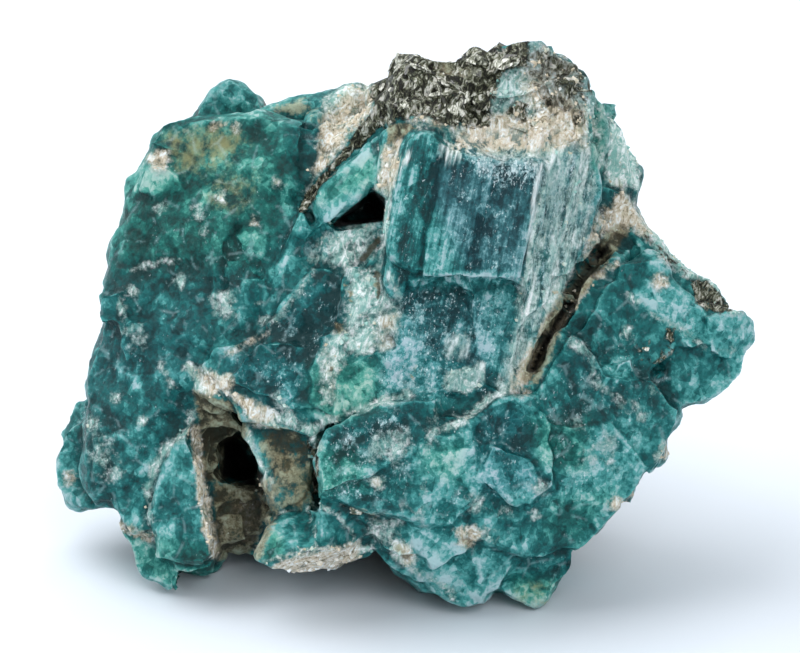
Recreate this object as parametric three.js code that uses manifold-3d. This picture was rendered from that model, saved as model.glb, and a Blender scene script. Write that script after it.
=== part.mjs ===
// A rough piece of grandidierite: blue-green crystals grown together with pale feldspar and a
// crust of dark mica, broken out of the rock as one natural piece. It leans back a little and
// rests on worn flats on its underside.
//
// The piece is described from its display side, in millimetres: x to the right, y up the face
// and z towards the viewer. resting() then turns it to its resting position, with +Z up and
// the origin under the middle of the piece.
import * as THREE from "three";
import { ConvexGeometry } from "three/addons/geometries/ConvexGeometry.js";
import { mergeVertices } from "three/addons/utils/BufferGeometryUtils.js";
import Module from "manifold-3d";

const wasm = await Module();
wasm.setup();

// Driving dimensions, in millimetres and degrees.
const LEAN = 20; // how far the display side leans back from upright
const BASE_LEVEL = -13.35; // height of the resting surface, from the middle of the display side
const SHOULDER = 0.55; // how far behind its front face a crystal is at its widest
const SHOULDER_INSET = 0.95; // size of the front face, of the crystal's widest outline
const FEWEST_SHOULDERED = 7; // a small crystal with fewer corners has no shoulder
const ROOT_TAPER = 0.72; // size of a crystal's root inside the piece, of its widest outline
const CORNER_WANDER = 0.1; // how far a broken corner lies from its place
const LUMP_SIDES = 5; // sides of a crystal that lies across the others
const MERGE = 1e-4; // corners closer than this are one

// Random numbers from 0 to 1 that are the same each time, so the piece always breaks alike.
function seeded(seed) {
  let state = seed;
  return () => {
    state = (state + 0x6d2b79f5) | 0;
    let t = Math.imul(state ^ (state >>> 15), 1 | state);
    t = (t + Math.imul(t ^ (t >>> 7), 61 | t)) ^ t;
    return ((t ^ (t >>> 14)) >>> 0) / 4294967296;
  };
}
const random = seeded(20);
const spread = (size) => (random() * 2 - 1) * size;

// The smallest closed body with flat faces round a list of points.
function hull(points) {
  const geometry = new ConvexGeometry(points.map((p) => new THREE.Vector3(...p)));
  geometry.deleteAttribute("normal");
  geometry.deleteAttribute("uv");
  const merged = mergeVertices(geometry, MERGE);
  return new wasm.Manifold(
    new wasm.Mesh({
      numProp: 3,
      vertProperties: new Float32Array(merged.attributes.position.array),
      triVerts: new Uint32Array(merged.index.array),
    }),
  );
}

function middleOf(outline) {
  const sum = outline.reduce(([a, b], [x, y]) => [a + x, b + y], [0, 0]);
  return sum.map((s) => s / outline.length);
}

// The outline at a share of its size, on the tilted plane z = level + right x + up y, measured
// from the outline's middle.
function ring(outline, size, { level, right = 0, up = 0 }, behind = 0) {
  const [mx, my] = middleOf(outline);
  return outline.map(([x, y]) => {
    const dx = (x - mx) * size + spread(CORNER_WANDER);
    const dy = (y - my) * size + spread(CORNER_WANDER);
    return [mx + dx, my + dy, level - behind + right * dx + up * dy];
  });
}

// One crystal: its widest outline as seen from the front, a flat front face, narrow faces
// round it, and a root that narrows towards `back`, a level inside the piece. Peaks are
// corners that stand out of the front face and break it into several.
function crystal(outline, front, back, options = {}) {
  const { inset = SHOULDER_INSET, shoulder = SHOULDER, taper = ROOT_TAPER, peaks = [] } = options;
  const shouldered = outline.length >= FEWEST_SHOULDERED;
  return hull([
    ...(shouldered ? ring(outline, inset, front) : []),
    ...ring(outline, 1, front, shouldered ? shoulder : 0),
    ...ring(outline, taper, { level: back }),
    ...peaks,
  ]);
}

// One crystal on the back of the piece: the same, with its flat face towards -z.
function backCrystal(outline, rear, root, options = {}) {
  const { level, right = 0, up = 0 } = rear;
  const mirrored = crystal(outline, { level: -level, right: -right, up: -up }, -root, options);
  return mirrored.mirror([0, 0, 1]);
}

// A chunky crystal that lies any way: five sides, broken off slantwise at both ends. Its
// middle, its width, height and length, and its turns about x, y and z in degrees.
function lump(middle, [width, height, length], turns) {
  const points = [];
  for (const end of [-1, 1]) {
    for (const [size, along] of [[0.5, 0.34], [0.36, 0.5]]) {
      for (let side = 0; side < LUMP_SIDES; side += 1) {
        const angle = (2 * Math.PI * (side + random() * 0.4)) / LUMP_SIDES;
        const reach = size * (0.9 + random() * 0.2);
        points.push(
          new THREE.Vector3(
            Math.cos(angle) * reach * width,
            Math.sin(angle) * reach * height,
            end * along * length * (0.85 + random() * 0.2),
          ),
        );
      }
    }
  }
  const turn = new THREE.Euler(...turns.map(THREE.MathUtils.degToRad));
  return hull(points.map((p) => p.applyEuler(turn).add(new THREE.Vector3(...middle)).toArray()));
}

// The main masses, which the crystals stand on. They fill the middle of the piece.
function masses() {
  return [
    crystal(
      [
        [-14.4, 3], [-12.2, 9], [-6, 10.4], [-3, 8], [-3.2, -2], [-10.4, -3], [-11, -8.6],
        [-15.4, -7.6],
      ],
      { level: -2.6, right: 0.1 },
      -10,
    ),
    crystal(
      [
        [-4, 9], [0.5, 12.4], [8, 12], [9.4, 5], [7.5, -8], [0, -10.4], [-5.6, -8], [-6, 2],
      ],
      { level: 0.2 },
      -11,
    ),
    crystal(
      [
        [8, 4.4], [13.4, 2.2], [16.2, -1], [13, -5.4], [9, -10], [3, -11.6], [5, -2],
      ],
      { level: -0.6 },
      -9,
    ),
    crystal(
      [
        [-12, -2], [-5, -2], [-4.4, -9], [-6, -11.2], [-10.4, -10.6], [-12.4, -8],
      ],
      { level: -5 },
      -12,
      { taper: 0.85 },
    ),
    crystal(
      [
        [7, 8], [10.6, 6.6], [13.6, 3.4], [13, -1], [7, -2],
      ],
      { level: -2.6 },
      -9,
    ),
  ];
}

// The broad rough crystal on the left, its lobe behind, its knob on top and the slips of
// crystal along its right edge.
function leftCrystal() {
  return [
    crystal(
      [
        [-16.1, -3.6], [-15.2, 1], [-13.65, 7], [-12.2, 9.8], [-10.4, 10.95], [-7, 11.1],
        [-4.6, 10.6], [-4.8, 6], [-6.6, 0], [-10.2, -2.7], [-12.9, -9], [-15.3, -9.1],
        [-16.1, -7],
      ],
      { level: -1.2, right: 0.26, up: -0.04 },
      -9,
      {
        inset: 0.95,
        shoulder: 1,
        taper: 0.86,
        peaks: [
          [-9.2, 4.6, 0.5], [-7, 1.2, 1.1], [-11.8, -3.2, 0.2], [-6.2, 7.4, 0.4],
          [-12.4, 5.6, -0.9], [-13.6, -6, -0.9],
        ],
      },
    ),
    crystal(
      [
        [-16, -4.2], [-16.9, -5], [-17.5, -6.6], [-17.45, -8], [-16.9, -8.8], [-15.7, -9.25],
        [-14.4, -8.9], [-14.6, -5],
      ],
      { level: -4.6, right: 0.3 },
      -10,
    ),
    crystal(
      [
        [-10.5, 10.7], [-9.6, 12], [-8.8, 12.45], [-8.1, 12.35], [-7.2, 11.8], [-6.8, 11],
        [-8, 9.6],
      ],
      { level: -4.4, up: -0.3 },
      -9,
    ),
    crystal(
      [
        [-12.6, 9.2], [-11.9, 10.3], [-10.2, 11.1], [-8.4, 10.8], [-8.6, 9.4], [-10.8, 8.6],
      ],
      { level: -1.5, right: 0.1, up: -0.5 },
      -7,
    ),
    crystal(
      [
        [-13.2, 7], [-12.6, 8.2], [-11.2, 7.9], [-10.9, 7.1], [-12, 6.7],
      ],
      { level: -0.9, right: 0.3, up: -0.1 },
      -4,
    ),
    crystal(
      [
        [-9.3, 3.2], [-8, 3.3], [-7.6, 1.8], [-8.6, 0.9], [-9.7, 1.8],
      ],
      { level: 0.8, right: 0.1, up: -0.1 },
      -3,
    ),
    crystal(
      [
        [-7.9, 5.6], [-5.4, 6.2], [-5.3, 4.4], [-6.3, 3.1], [-7.6, 3.4],
      ],
      { level: 0.65, right: 0.1, up: -0.15 },
      -3,
    ),
    crystal(
      [
        [-5, 6.2], [-4.4, 5], [-4.6, 3.4], [-6.7, 0.5], [-6.6, 2.6], [-5.9, 3.8],
      ],
      { level: 1.15, right: 0.2 },
      -4,
    ),
    crystal(
      [
        [-7.8, 2.6], [-6.6, 2.7], [-6.6, 0.4], [-7.8, 0.1], [-8.2, 1.2],
      ],
      { level: 1.05, right: 0.1, up: 0.1 },
      -3,
    ),
    crystal(
      [
        [-10.1, -1.9], [-9.4, -0.8], [-7.8, -0.5], [-7.7, -1.4], [-9, -2.6],
      ],
      { level: 1.3, right: 0.2 },
      -4,
    ),
    crystal(
      [
        [-14.2, 0.2], [-12.6, 0.4], [-12.2, -1.2], [-13.6, -1.5],
      ],
      { level: -0.55, right: 0.2, up: 0.15 },
      -4,
    ),
    crystal(
      [
        [-15, 1.9], [-13.8, 2.1], [-13.4, 0.6], [-15.1, 0.2],
      ],
      { level: -0.95, right: 0.4 },
      -4,
    ),
  ];
}

// The blades at the lower left, beside the hollow.
function lowerLeftBlades() {
  return [
    crystal(
      [
        [-12.5, -9.2], [-12, -6.9], [-11.2, -5.6], [-10.5, -5], [-10, -6.4], [-9.8, -8.6],
        [-9.2, -11.2], [-9.8, -11.8], [-12.2, -11.6],
      ],
      { level: 0.25, right: 0.35, up: -0.05 },
      -6,
      { inset: 0.94, taper: 0.85 },
    ),
    crystal(
      [
        [-14.2, -9.4], [-12.4, -8.8], [-11.6, -11.4], [-10.7, -13], [-11.5, -13.1],
        [-12.7, -12.4], [-13.4, -11.6], [-13.9, -10.4],
      ],
      { level: -2, right: 0.3 },
      -7,
    ),
    crystal(
      [
        [-14.6, -8.6], [-13, -7.8], [-12.4, -10], [-13.4, -10.3],
      ],
      { level: -1.3, right: 0.2 },
      -6,
    ),
    crystal(
      [
        [-11.6, -11.2], [-9, -11.2], [-9.3, -12.1], [-11.2, -12.4],
      ],
      { level: -0.9, up: 0.4 },
      -5,
    ),
    crystal(
      [
        [-15.2, -5.4], [-13.2, -5], [-12.6, -7], [-14, -8], [-15.4, -7.4],
      ],
      { level: -1.1, right: 0.35, up: 0.1 },
      -5,
    ),
  ];
}

// The pale feldspar ridge at the back, the dark mica seam that runs down from the cap, and
// the tilted blade in front of it.
function upperSeam() {
  return [
    crystal(
      [
        [-7.2, 10.9], [-5, 11.35], [-3.5, 11.55], [-2.2, 12.1], [-1.4, 11.9], [-1.2, 10.6],
        [-3, 8.8], [-6, 9],
      ],
      { level: -2.8, up: -0.2 },
      -9,
    ),
    crystal(
      [
        [-1.4, 11.4], [-1.25, 12.05], [-0.7, 12.3], [-0.2, 12], [-0.2, 11.2],
      ],
      { level: -1.5 },
      -5,
    ),
    crystal(
      [
        [-4.3, 10.2], [-3.5, 10.6], [-2.5, 9.3], [-4.1, 7.5], [-4.6, 8.4],
      ],
      { level: -0.6, right: -0.3 },
      -5,
    ),
    crystal(
      [
        [-0.2, 12], [-0.9, 11.2], [-2, 10.5], [-2.8, 9.3], [-2.2, 8.8], [-0.8, 9.4], [0.4, 10],
      ],
      { level: 0.3, right: 0.35 },
      -6,
    ),
    crystal(
      [
        [-2.3, 9.4], [-3.6, 8.3], [-4.7, 6.8], [-5, 5.9], [-4.4, 6], [-3.4, 7.2], [-1.9, 8.8],
      ],
      { level: 0.2, right: 0.15 },
      -5,
    ),
    crystal(
      [
        [-4.5, 6.2], [-4.35, 4.7], [-3.6, 5], [-2.4, 6.2], [-1.3, 7.3], [-1, 8.7], [-1.5, 9.3],
        [-2.6, 8.4], [-3.6, 7.3],
      ],
      { level: 1.75, right: 0.25, up: -0.15 },
      -2,
      { inset: 0.8, shoulder: 0.5 },
    ),
    crystal(
      [
        [-1.3, 7], [-0.6, 6.6], [-0.1, 8.4], [0.2, 10.2], [-0.9, 9.6], [-1, 8],
      ],
      { level: 2.3, right: 0.2 },
      -3,
    ),
  ];
}

// The striated prism in the middle: tall faces side by side along one leaning axis, ending
// below in a broken lip over the darker crystal under it.
function prism() {
  return [
    crystal(
      [
        [-0.85, 3.5], [0.9, 2.5], [1.15, 5.4], [1.75, 9.7], [0.9, 9.95], [0.25, 9.6],
        [-0.05, 8.4], [-0.6, 5.4],
      ],
      { level: 4.15, right: 0.42, up: -0.04 },
      -3,
      { inset: 0.92 },
    ),
    crystal(
      [
        [0.8, 2.3], [3.1, 2.6], [3.5, 5], [4.1, 8.6], [2.9, 9.2], [1.8, 9.5], [1.2, 6],
      ],
      { level: 4.55, right: 0.06, up: -0.05 },
      -3,
      { inset: 0.94 },
    ),
    crystal(
      [
        [2.9, 2.6], [4.6, 2.5], [5.1, 5], [5.6, 8.5], [4, 8.8], [3.4, 5.6],
      ],
      { level: 4.55, right: -0.12, up: -0.06 },
      -3,
      { inset: 0.94 },
    ),
    crystal(
      [
        [4.4, 2.5], [6.1, 2.6], [6.6, 5.4], [7.25, 8.6], [5.5, 8.8], [5, 5.6],
      ],
      { level: 4.25, right: -0.28, up: -0.06 },
      -3,
      { inset: 0.94 },
    ),
    crystal(
      [
        [3.3, 2.7], [6.1, 2.7], [5.7, -0.6], [5.1, -2.4], [4.2, -1.6], [3.5, 0],
      ],
      { level: 3.35, right: -0.1, up: -0.02 },
      -2,
    ),
    crystal(
      [
        [-0.9, 3.4], [0.3, 2.6], [0.2, 1.6], [-0.6, 1.6], [-1, 2.6],
      ],
      { level: 3.1, right: 0.2 },
      -1,
    ),
  ];
}

// The pale striated slope to the right of the prism, down to the crevice.
function rightSlope() {
  return [
    crystal(
      [
        [6, 2.4], [7.1, 8.4], [8.5, 9.6], [9.3, 8.8], [8.6, 5.4], [7.3, 1.6], [6, 0],
      ],
      { level: 2.95, right: -0.4, up: 0.02 },
      -5,
    ),
    crystal(
      [
        [8.2, 8.8], [9.5, 9.3], [9.9, 7], [9.6, 4.6], [8.6, 2.4], [7.6, 2.6],
      ],
      { level: 1.7, right: -0.7 },
      -5,
    ),
    crystal(
      [
        [5.8, 1.6], [7.6, 3], [8.4, 1.6], [6.9, -1.2], [5.7, -2.8], [4.7, -3], [5.2, -1],
      ],
      { level: 2.35, right: -0.4 },
      -5,
    ),
    crystal(
      [
        [6, 2], [6.5, 5.2], [7.2, 8.4], [7.5, 8.2], [6.9, 5], [6.4, 1.4],
      ],
      { level: 3.75, right: -0.1 },
      0,
    ),
  ];
}

// The cap: feldspar above the prism, leaning back to a crust of dark mica at the top.
function cap() {
  return [
    crystal(
      [
        [0.2, 9.6], [2.6, 8.9], [5.5, 8.2], [9.3, 9.2], [9.5, 11.2], [8.6, 12.4], [4, 12],
        [0.4, 11.6],
      ],
      { level: 2.75, right: -0.1, up: -0.45 },
      -6,
    ),
    crystal(
      [
        [-0.45, 12.4], [0, 13.2], [0.8, 13.7], [2.4, 13.65], [3.2, 12.9], [2.8, 11.2],
        [0.2, 10.6], [-0.3, 11.3],
      ],
      { level: 1.2, right: 0.15, up: -0.6 },
      -6,
    ),
    crystal(
      [
        [2.4, 13.6], [4, 14.05], [5.3, 14.45], [6.2, 14.3], [6.4, 12.8], [4.6, 11.4],
        [2.6, 11.8],
      ],
      { level: 0.9, up: -0.7 },
      -6,
    ),
    crystal(
      [
        [5.2, 14.4], [6.2, 14.5], [7.2, 14.5], [8, 13.9], [8.9, 13.1], [8.6, 12], [6, 11.6],
      ],
      { level: 0.4, right: -0.2, up: -0.6 },
      -7,
    ),
    crystal(
      [
        [8.4, 13.3], [9.2, 12.6], [9.6, 11.6], [9.5, 9.6], [8.6, 10],
      ],
      { level: 0.6, right: -0.7, up: -0.2 },
      -6,
    ),
    crystal(
      [
        [0.6, 12.8], [1.6, 13.1], [2.9, 12.2], [2.3, 11.2], [1, 11.4],
      ],
      { level: 2, up: -0.5 },
      -2,
    ),
    crystal(
      [
        [2.2, 12], [3.2, 12.4], [3.6, 10.6], [2.8, 9.9], [2, 10.4],
      ],
      { level: 3.1, up: -0.4 },
      -1,
    ),
    crystal(
      [
        [3.6, 12.3], [4.6, 12.4], [4.8, 10.6], [3.9, 10.2],
      ],
      { level: 2.6, up: -0.35 },
      -1,
    ),
    crystal(
      [
        [4, 13.9], [6.1, 14.2], [6, 13.1], [4.2, 12.8],
      ],
      { level: 1.05, up: -0.7 },
      -3,
    ),
    crystal(
      [
        [-0.3, 10.9], [0.9, 11.6], [1.2, 10], [0.2, 9.7],
      ],
      { level: 2.9, up: -0.3, right: 0.2 },
      -2,
    ),
    crystal(
      [
        [7, 12.4], [8.7, 12.6], [8.9, 11.2], [7.6, 10.9],
      ],
      { level: 1.9, right: -0.3, up: -0.3 },
      -2,
    ),
    crystal(
      [
        [6, 10.6], [7.4, 10.9], [7.8, 9.2], [6.2, 9],
      ],
      { level: 3.4, right: -0.2, up: -0.3 },
      -1,
    ),
  ];
}

// The green crystals, feldspar and mica band behind the crevice, at the upper right.
function upperRight() {
  return [
    crystal(
      [
        [9.3, 8], [9.3, 12.4], [9.7, 12.1], [10.15, 11.3], [10.4, 10.2], [10.3, 8], [9.8, 7],
      ],
      { level: -1.6, right: -0.3 },
      -9,
    ),
    crystal(
      [
        [9.9, 10.2], [10.5, 10.6], [11.05, 10.1], [11.5, 9.2], [11.6, 7.8], [11.2, 6.8],
        [10, 7],
      ],
      { level: -2.7, right: -0.3 },
      -9,
    ),
    crystal(
      [
        [9.7, 7.3], [11.5, 7.2], [11.75, 6.2], [12.7, 5.2], [12, 4.2], [10.4, 5], [9.6, 5.2],
      ],
      { level: -2, right: -0.2, up: -0.2 },
      -8,
    ),
    crystal(
      [
        [11.3, 6.4], [12, 5.7], [13.4, 4.1], [14.7, 3], [14.2, 2], [12.6, 2.8], [11.2, 4.8],
      ],
      { level: -1.7, right: -0.1, up: -0.3 },
      -8,
    ),
    crystal(
      [
        [13.6, 3.9], [14.9, 2.85], [15.6, 2.35], [16.7, 1.2], [15.8, 0.4], [14, 1.4],
      ],
      { level: -1.5, right: -0.1, up: -0.3 },
      -7,
    ),
    crystal(
      [
        [9.4, 6.6], [10.2, 5.4], [9.9, 4], [8.8, 2.8], [8.8, 5],
      ],
      { level: 0.1, right: -0.4 },
      -6,
    ),
  ];
}

// The big crystal on the right, from its top edge along the crevice to the tip and the foot.
function rightCrystal() {
  return [
    crystal(
      [
        [11, 3.5], [12.2, 3.75], [13.4, 3], [14, 1.8], [13.8, -1], [12.2, -2.6], [9, -1.2],
        [8.5, -0.2], [9.6, 1.6],
      ],
      { level: 1.3, right: -0.2, up: -0.12 },
      -6,
    ),
    crystal(
      [
        [12.2, 2.6], [13.4, 2.9], [14.9, 1.2], [15.2, -0.6], [14.4, -1], [12.6, 0.9],
      ],
      { level: 0.85, right: -0.3, up: -0.2 },
      -5,
    ),
    crystal(
      [
        [14, 1.6], [15.4, 0.8], [17.2, 0.95], [17.65, 0.5], [17.8, -0.3], [17.5, -1],
        [17, -2.2], [16.4, -3.1], [14.9, -3.7], [13.6, -3.9], [13.2, -1.6],
      ],
      { level: 0.1, right: -0.25, up: -0.02 },
      -6,
    ),
    crystal(
      [
        [15.2, 0.7], [17.1, 0.9], [17.7, -0.2], [16.4, -1.6], [15.3, -1],
      ],
      { level: 0.3, right: -0.5 },
      -3,
    ),
    crystal(
      [
        [8.4, -0.2], [9.3, -0.7], [10.6, -2.8], [10.4, -4.6], [7.4, -5], [6.6, -3.2],
        [7.2, -1.9],
      ],
      { level: 2.85, right: -0.12, up: -0.1 },
      -4,
    ),
    crystal(
      [
        [10, -2], [12.4, -2.2], [14, -4], [13.65, -4.7], [13.2, -6], [12.6, -7.2], [10.4, -7.4],
        [8.6, -5],
      ],
      { level: 2.2, right: -0.32, up: 0.05 },
      -5,
    ),
    crystal(
      [
        [7, -4.6], [10.4, -4.4], [12.4, -6.8], [12.1, -7.8], [10.9, -9], [8, -8.6], [6.6, -6.6],
      ],
      { level: 2.75, right: -0.2, up: 0.16 },
      -5,
    ),
    crystal(
      [
        [4.3, -3.4], [5.2, -3.05], [6.6, -3.05], [7.4, -4.8], [7.7, -7.8], [6.2, -8.8],
        [4, -7.6], [3.3, -5.5], [3.4, -4.3],
      ],
      { level: 3.95, right: -0.05, up: 0 },
      -3,
    ),
    crystal(
      [
        [4.6, -5.8], [6.2, -6.1], [7.1, -7.8], [5.6, -8.6], [4, -7.4],
      ],
      { level: 4.2, right: -0.15, up: 0.1 },
      0,
    ),
    crystal(
      [
        [3.9, -7.4], [7.4, -7.6], [10.8, -8.8], [11.2, -8.9], [9.9, -10.2], [9, -10.8],
        [6, -11.4], [3.6, -10.2],
      ],
      { level: 2.5, right: -0.22, up: 0.35 },
      -5,
    ),
    crystal(
      [
        [6.2, -9.4], [8.8, -9.2], [9.6, -10.3], [8.6, -11.1], [6.2, -11],
      ],
      { level: 1.9, right: -0.2, up: 0.4 },
      -3,
    ),
    crystal(
      [
        [10.6, -1.4], [11.6, -1.2], [11.7, -2], [11, -2.7], [10.3, -2.2],
      ],
      { level: 2.25, right: -0.2 },
      0,
    ),
    crystal(
      [
        [12.7, -5.2], [13.4, -5.3], [13.65, -6.2], [13.3, -7], [12.6, -7.5], [11.6, -6.6],
      ],
      { level: -4, right: -0.2 },
      -8,
    ),
  ];
}

// The crystals in the middle: the dark faces left of the prism, the pale crusted ridge, the
// fibrous crystal under the prism and the sharp-cornered one below.
function centre() {
  return [
    crystal(
      [
        [-4.6, 4.5], [-3.4, 4.9], [-1.6, 5.3], [-0.7, 5.1], [-0.8, 3.4], [-2.4, 3.1],
        [-4.2, 3.1],
      ],
      { level: 1, right: 0.12, up: -0.3 },
      -4,
    ),
    crystal(
      [
        [-4.4, 3.3], [-3, 3], [-2.7, 1.2], [-3, -0.2], [-4.4, -1.2], [-5.9, -0.8], [-6.7, 0.1],
      ],
      { level: 1.9, right: 0.12, up: -0.12 },
      -4,
      { inset: 0.94, shoulder: 0.35 },
    ),
    crystal(
      [
        [-6.9, -0.3], [-4.6, -0.7], [-4, -2], [-4.4, -3.9], [-5.6, -4.1], [-7, -3.3],
        [-8.8, -2.4], [-7.9, -1.1],
      ],
      { level: 2.3, right: 0.1, up: -0.04 },
      -4,
      { inset: 0.95, shoulder: 0.3 },
    ),
    crystal(
      [
        [-2.8, 3.4], [-1.7, 3.5], [-1.1, 2.2], [-0.3, 1.5], [-0.2, 0], [-1, -1.2], [-2.8, -1.6],
        [-3.4, -0.2], [-2.9, 1.2],
      ],
      { level: 2.6, right: 0.05, up: -0.1 },
      -3,
    ),
    crystal(
      [
        [-4.2, -0.2], [-2.8, 0.1], [-2.6, -1.8], [-3.4, -4.4], [-4.6, -3.6], [-4.4, -2],
      ],
      { level: 2.8, right: 0.05 },
      -3,
    ),
    crystal(
      [
        [-3.3, -1.4], [-1, -1], [2, -0.8], [2.4, -2.4], [0.2, -3.4], [-2, -3.9], [-3.4, -4.6],
      ],
      { level: 3.15, right: 0.05, up: -0.08 },
      -3,
    ),
    crystal(
      [
        [-0.5, 2.8], [1, 2.7], [3.4, 2.4], [3.6, 0.6], [4.4, -2.2], [2.4, -3], [1.4, -1],
        [-0.1, -0.9], [-0.4, 1],
      ],
      { level: 2.9, right: 0.1, up: -0.12 },
      -3,
    ),
    crystal(
      [
        [2, -2.6], [3.2, -1.8], [4.2, -1.6], [4.4, -2.6], [3.4, -3.3], [2.2, -3.1],
      ],
      { level: 3.75, right: -0.1, up: -0.2 },
      0,
    ),
    crystal(
      [
        [1.8, -2.8], [4.4, -2.5], [5.2, -3.1], [3.6, -4.3], [2.2, -4.6], [0.8, -4],
      ],
      { level: 3.7, up: -0.05 },
      0,
    ),
    crystal(
      [
        [-3.5, -4.9], [-2, -4], [0.2, -3.3], [1.8, -3.2], [2, -4.6], [0.8, -5.8], [-1.4, -7],
        [-4.1, -8.3], [-4.1, -6.4],
      ],
      { level: 5, right: -0.12, up: -0.12 },
      -2,
      { inset: 0.96, shoulder: 0.25 },
    ),
    crystal(
      [
        [1, -4], [3, -4.2], [3.9, -4.6], [3.2, -5.8], [1.2, -5.7],
      ],
      { level: 4.35, right: -0.08 },
      0,
    ),
    crystal(
      [
        [-1.6, -5], [0.6, -4.8], [2.6, -5.4], [1.6, -6.8], [-1.2, -7.2],
      ],
      { level: 4.75, right: -0.1, up: 0.05 },
      0,
    ),
    crystal(
      [
        [-4.15, -8.2], [-3.2, -7.4], [-1.2, -7], [1, -6], [3.6, -5.6], [4.2, -7.8], [2.6, -9.6],
        [-0.6, -9.3], [-2.4, -8.5],
      ],
      { level: 4.5, right: -0.08, up: 0.16 },
      -2,
    ),
    crystal(
      [
        [-2.8, -8.6], [-0.8, -8.8], [3.8, -8.2], [4.2, -10.4], [1.4, -11.2], [-0.8, -11],
        [-2, -9.9],
      ],
      { level: 3.3, right: -0.02, up: 0.42 },
      -3,
    ),
    crystal(
      [
        [0.6, -9.6], [3, -9.2], [3.4, -11], [1.6, -11.8], [0.4, -10.8],
      ],
      { level: 3.1, up: 0.35 },
      -1,
    ),
  ];
}

// What shows round the hollow: its pale lip, the brown crystal on its right, the grey
// crystals in its floor, and the small crystal with a white underside below it.
function roundTheHollow() {
  return [
    crystal(
      [
        [-10.5, -2.2], [-9.4, -2.3], [-8.6, -2.9], [-8.2, -4], [-9.2, -3.6], [-10.2, -3.2],
      ],
      { level: 0.6, right: 0.3 },
      -4,
    ),
    crystal(
      [
        [-9, -2.6], [-7, -3.2], [-5.6, -4], [-4.4, -4.4], [-3.9, -5.8], [-4.9, -5.2],
        [-6.4, -4.7], [-8, -4.3],
      ],
      { level: 1.9, right: 0.2, up: 0.1 },
      -4,
      { taper: 0.6 },
    ),
    crystal(
      [
        [-7.8, -4.6], [-6.4, -4.6], [-5, -5], [-4.3, -6.2], [-4.5, -8.4], [-6.2, -9],
        [-6.2, -7.3], [-7, -6.9], [-7.6, -5.8],
      ],
      { level: 0.9, right: 0.1, up: -0.1 },
      -6,
      { taper: 0.9 },
    ),
    crystal(
      [
        [-7.9, -5.2], [-7.2, -5], [-6.2, -6.9], [-7, -7.1], [-7.7, -6.2],
      ],
      { level: 0.5, right: 0.2 },
      -5,
    ),
    crystal(
      [
        [-9.2, -8], [-7.2, -7.8], [-6.4, -9.4], [-7, -10.8], [-7.9, -11.15], [-9, -10.9],
      ],
      { level: -4.5, up: 0.2 },
      -9,
    ),
    crystal(
      [
        [-7.4, -8.6], [-6.2, -7.4], [-5.8, -9], [-6.4, -9.2],
      ],
      { level: -2, right: 0.2 },
      -6,
    ),
    crystal(
      [
        [-9.4, -9.4], [-7.9, -9.2], [-7.4, -10.6], [-9, -10.8],
      ],
      { level: -3.6 },
      -7,
    ),
    hull([
      [-7, -11.1, 3.2], [-6.5, -9.8, 2.8], [-5.7, -9.1, 2.3], [-4.3, -8.8, 2.2],
      [-3.3, -9.3, 2.2], [-2.1, -10.6, 2.9],
      [-6.4, -11.85, 3.4], [-5, -11.05, 4.6], [-4.3, -10.85, 4.8], [-3.2, -10.8, 4.2],
      [-5.8, -12, 1.2], [-4.4, -12.25, 1], [-2.8, -11.8, 1], [-1.3, -11, 1.2],
      [-6.4, -11, -2.5], [-6, -9, -3], [-3, -8.5, -3], [-2, -11, -2.5], [-4.4, -12, -1.5],
    ]),
  ];
}

// The foot at the lower right, curving under to where the piece rests.
function foot() {
  return [
    crystal(
      [
        [1.2, -9.6], [4.2, -10], [5.8, -11], [5.2, -13], [4.2, -13.85], [3, -13.8],
        [1.6, -13.1], [0.2, -12],
      ],
      { level: 1.5, up: 0.6 },
      -7,
    ),
    crystal(
      [
        [4.6, -10.6], [8.6, -10.8], [8.5, -11.8], [8, -12.4], [7.3, -13.4], [6.6, -13.75],
        [5.5, -13.2], [4.4, -12.8],
      ],
      { level: 0.5, right: -0.1, up: 0.5 },
      -7,
    ),
    crystal(
      [
        [-1.9, -9.8], [0.4, -10.2], [1.6, -12.2], [0.9, -12.8], [-0.6, -11.7], [-1.5, -10.8],
      ],
      { level: 1.7, right: 0.1, up: 0.4 },
      -6,
    ),
    crystal(
      [
        [-0.6, -11.6], [1, -11.4], [3, -13.2], [2.6, -13.7], [1.4, -13.2], [0.2, -12.5],
      ],
      { level: 0.5, up: 0.4 },
      -5,
    ),
  ];
}

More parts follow.
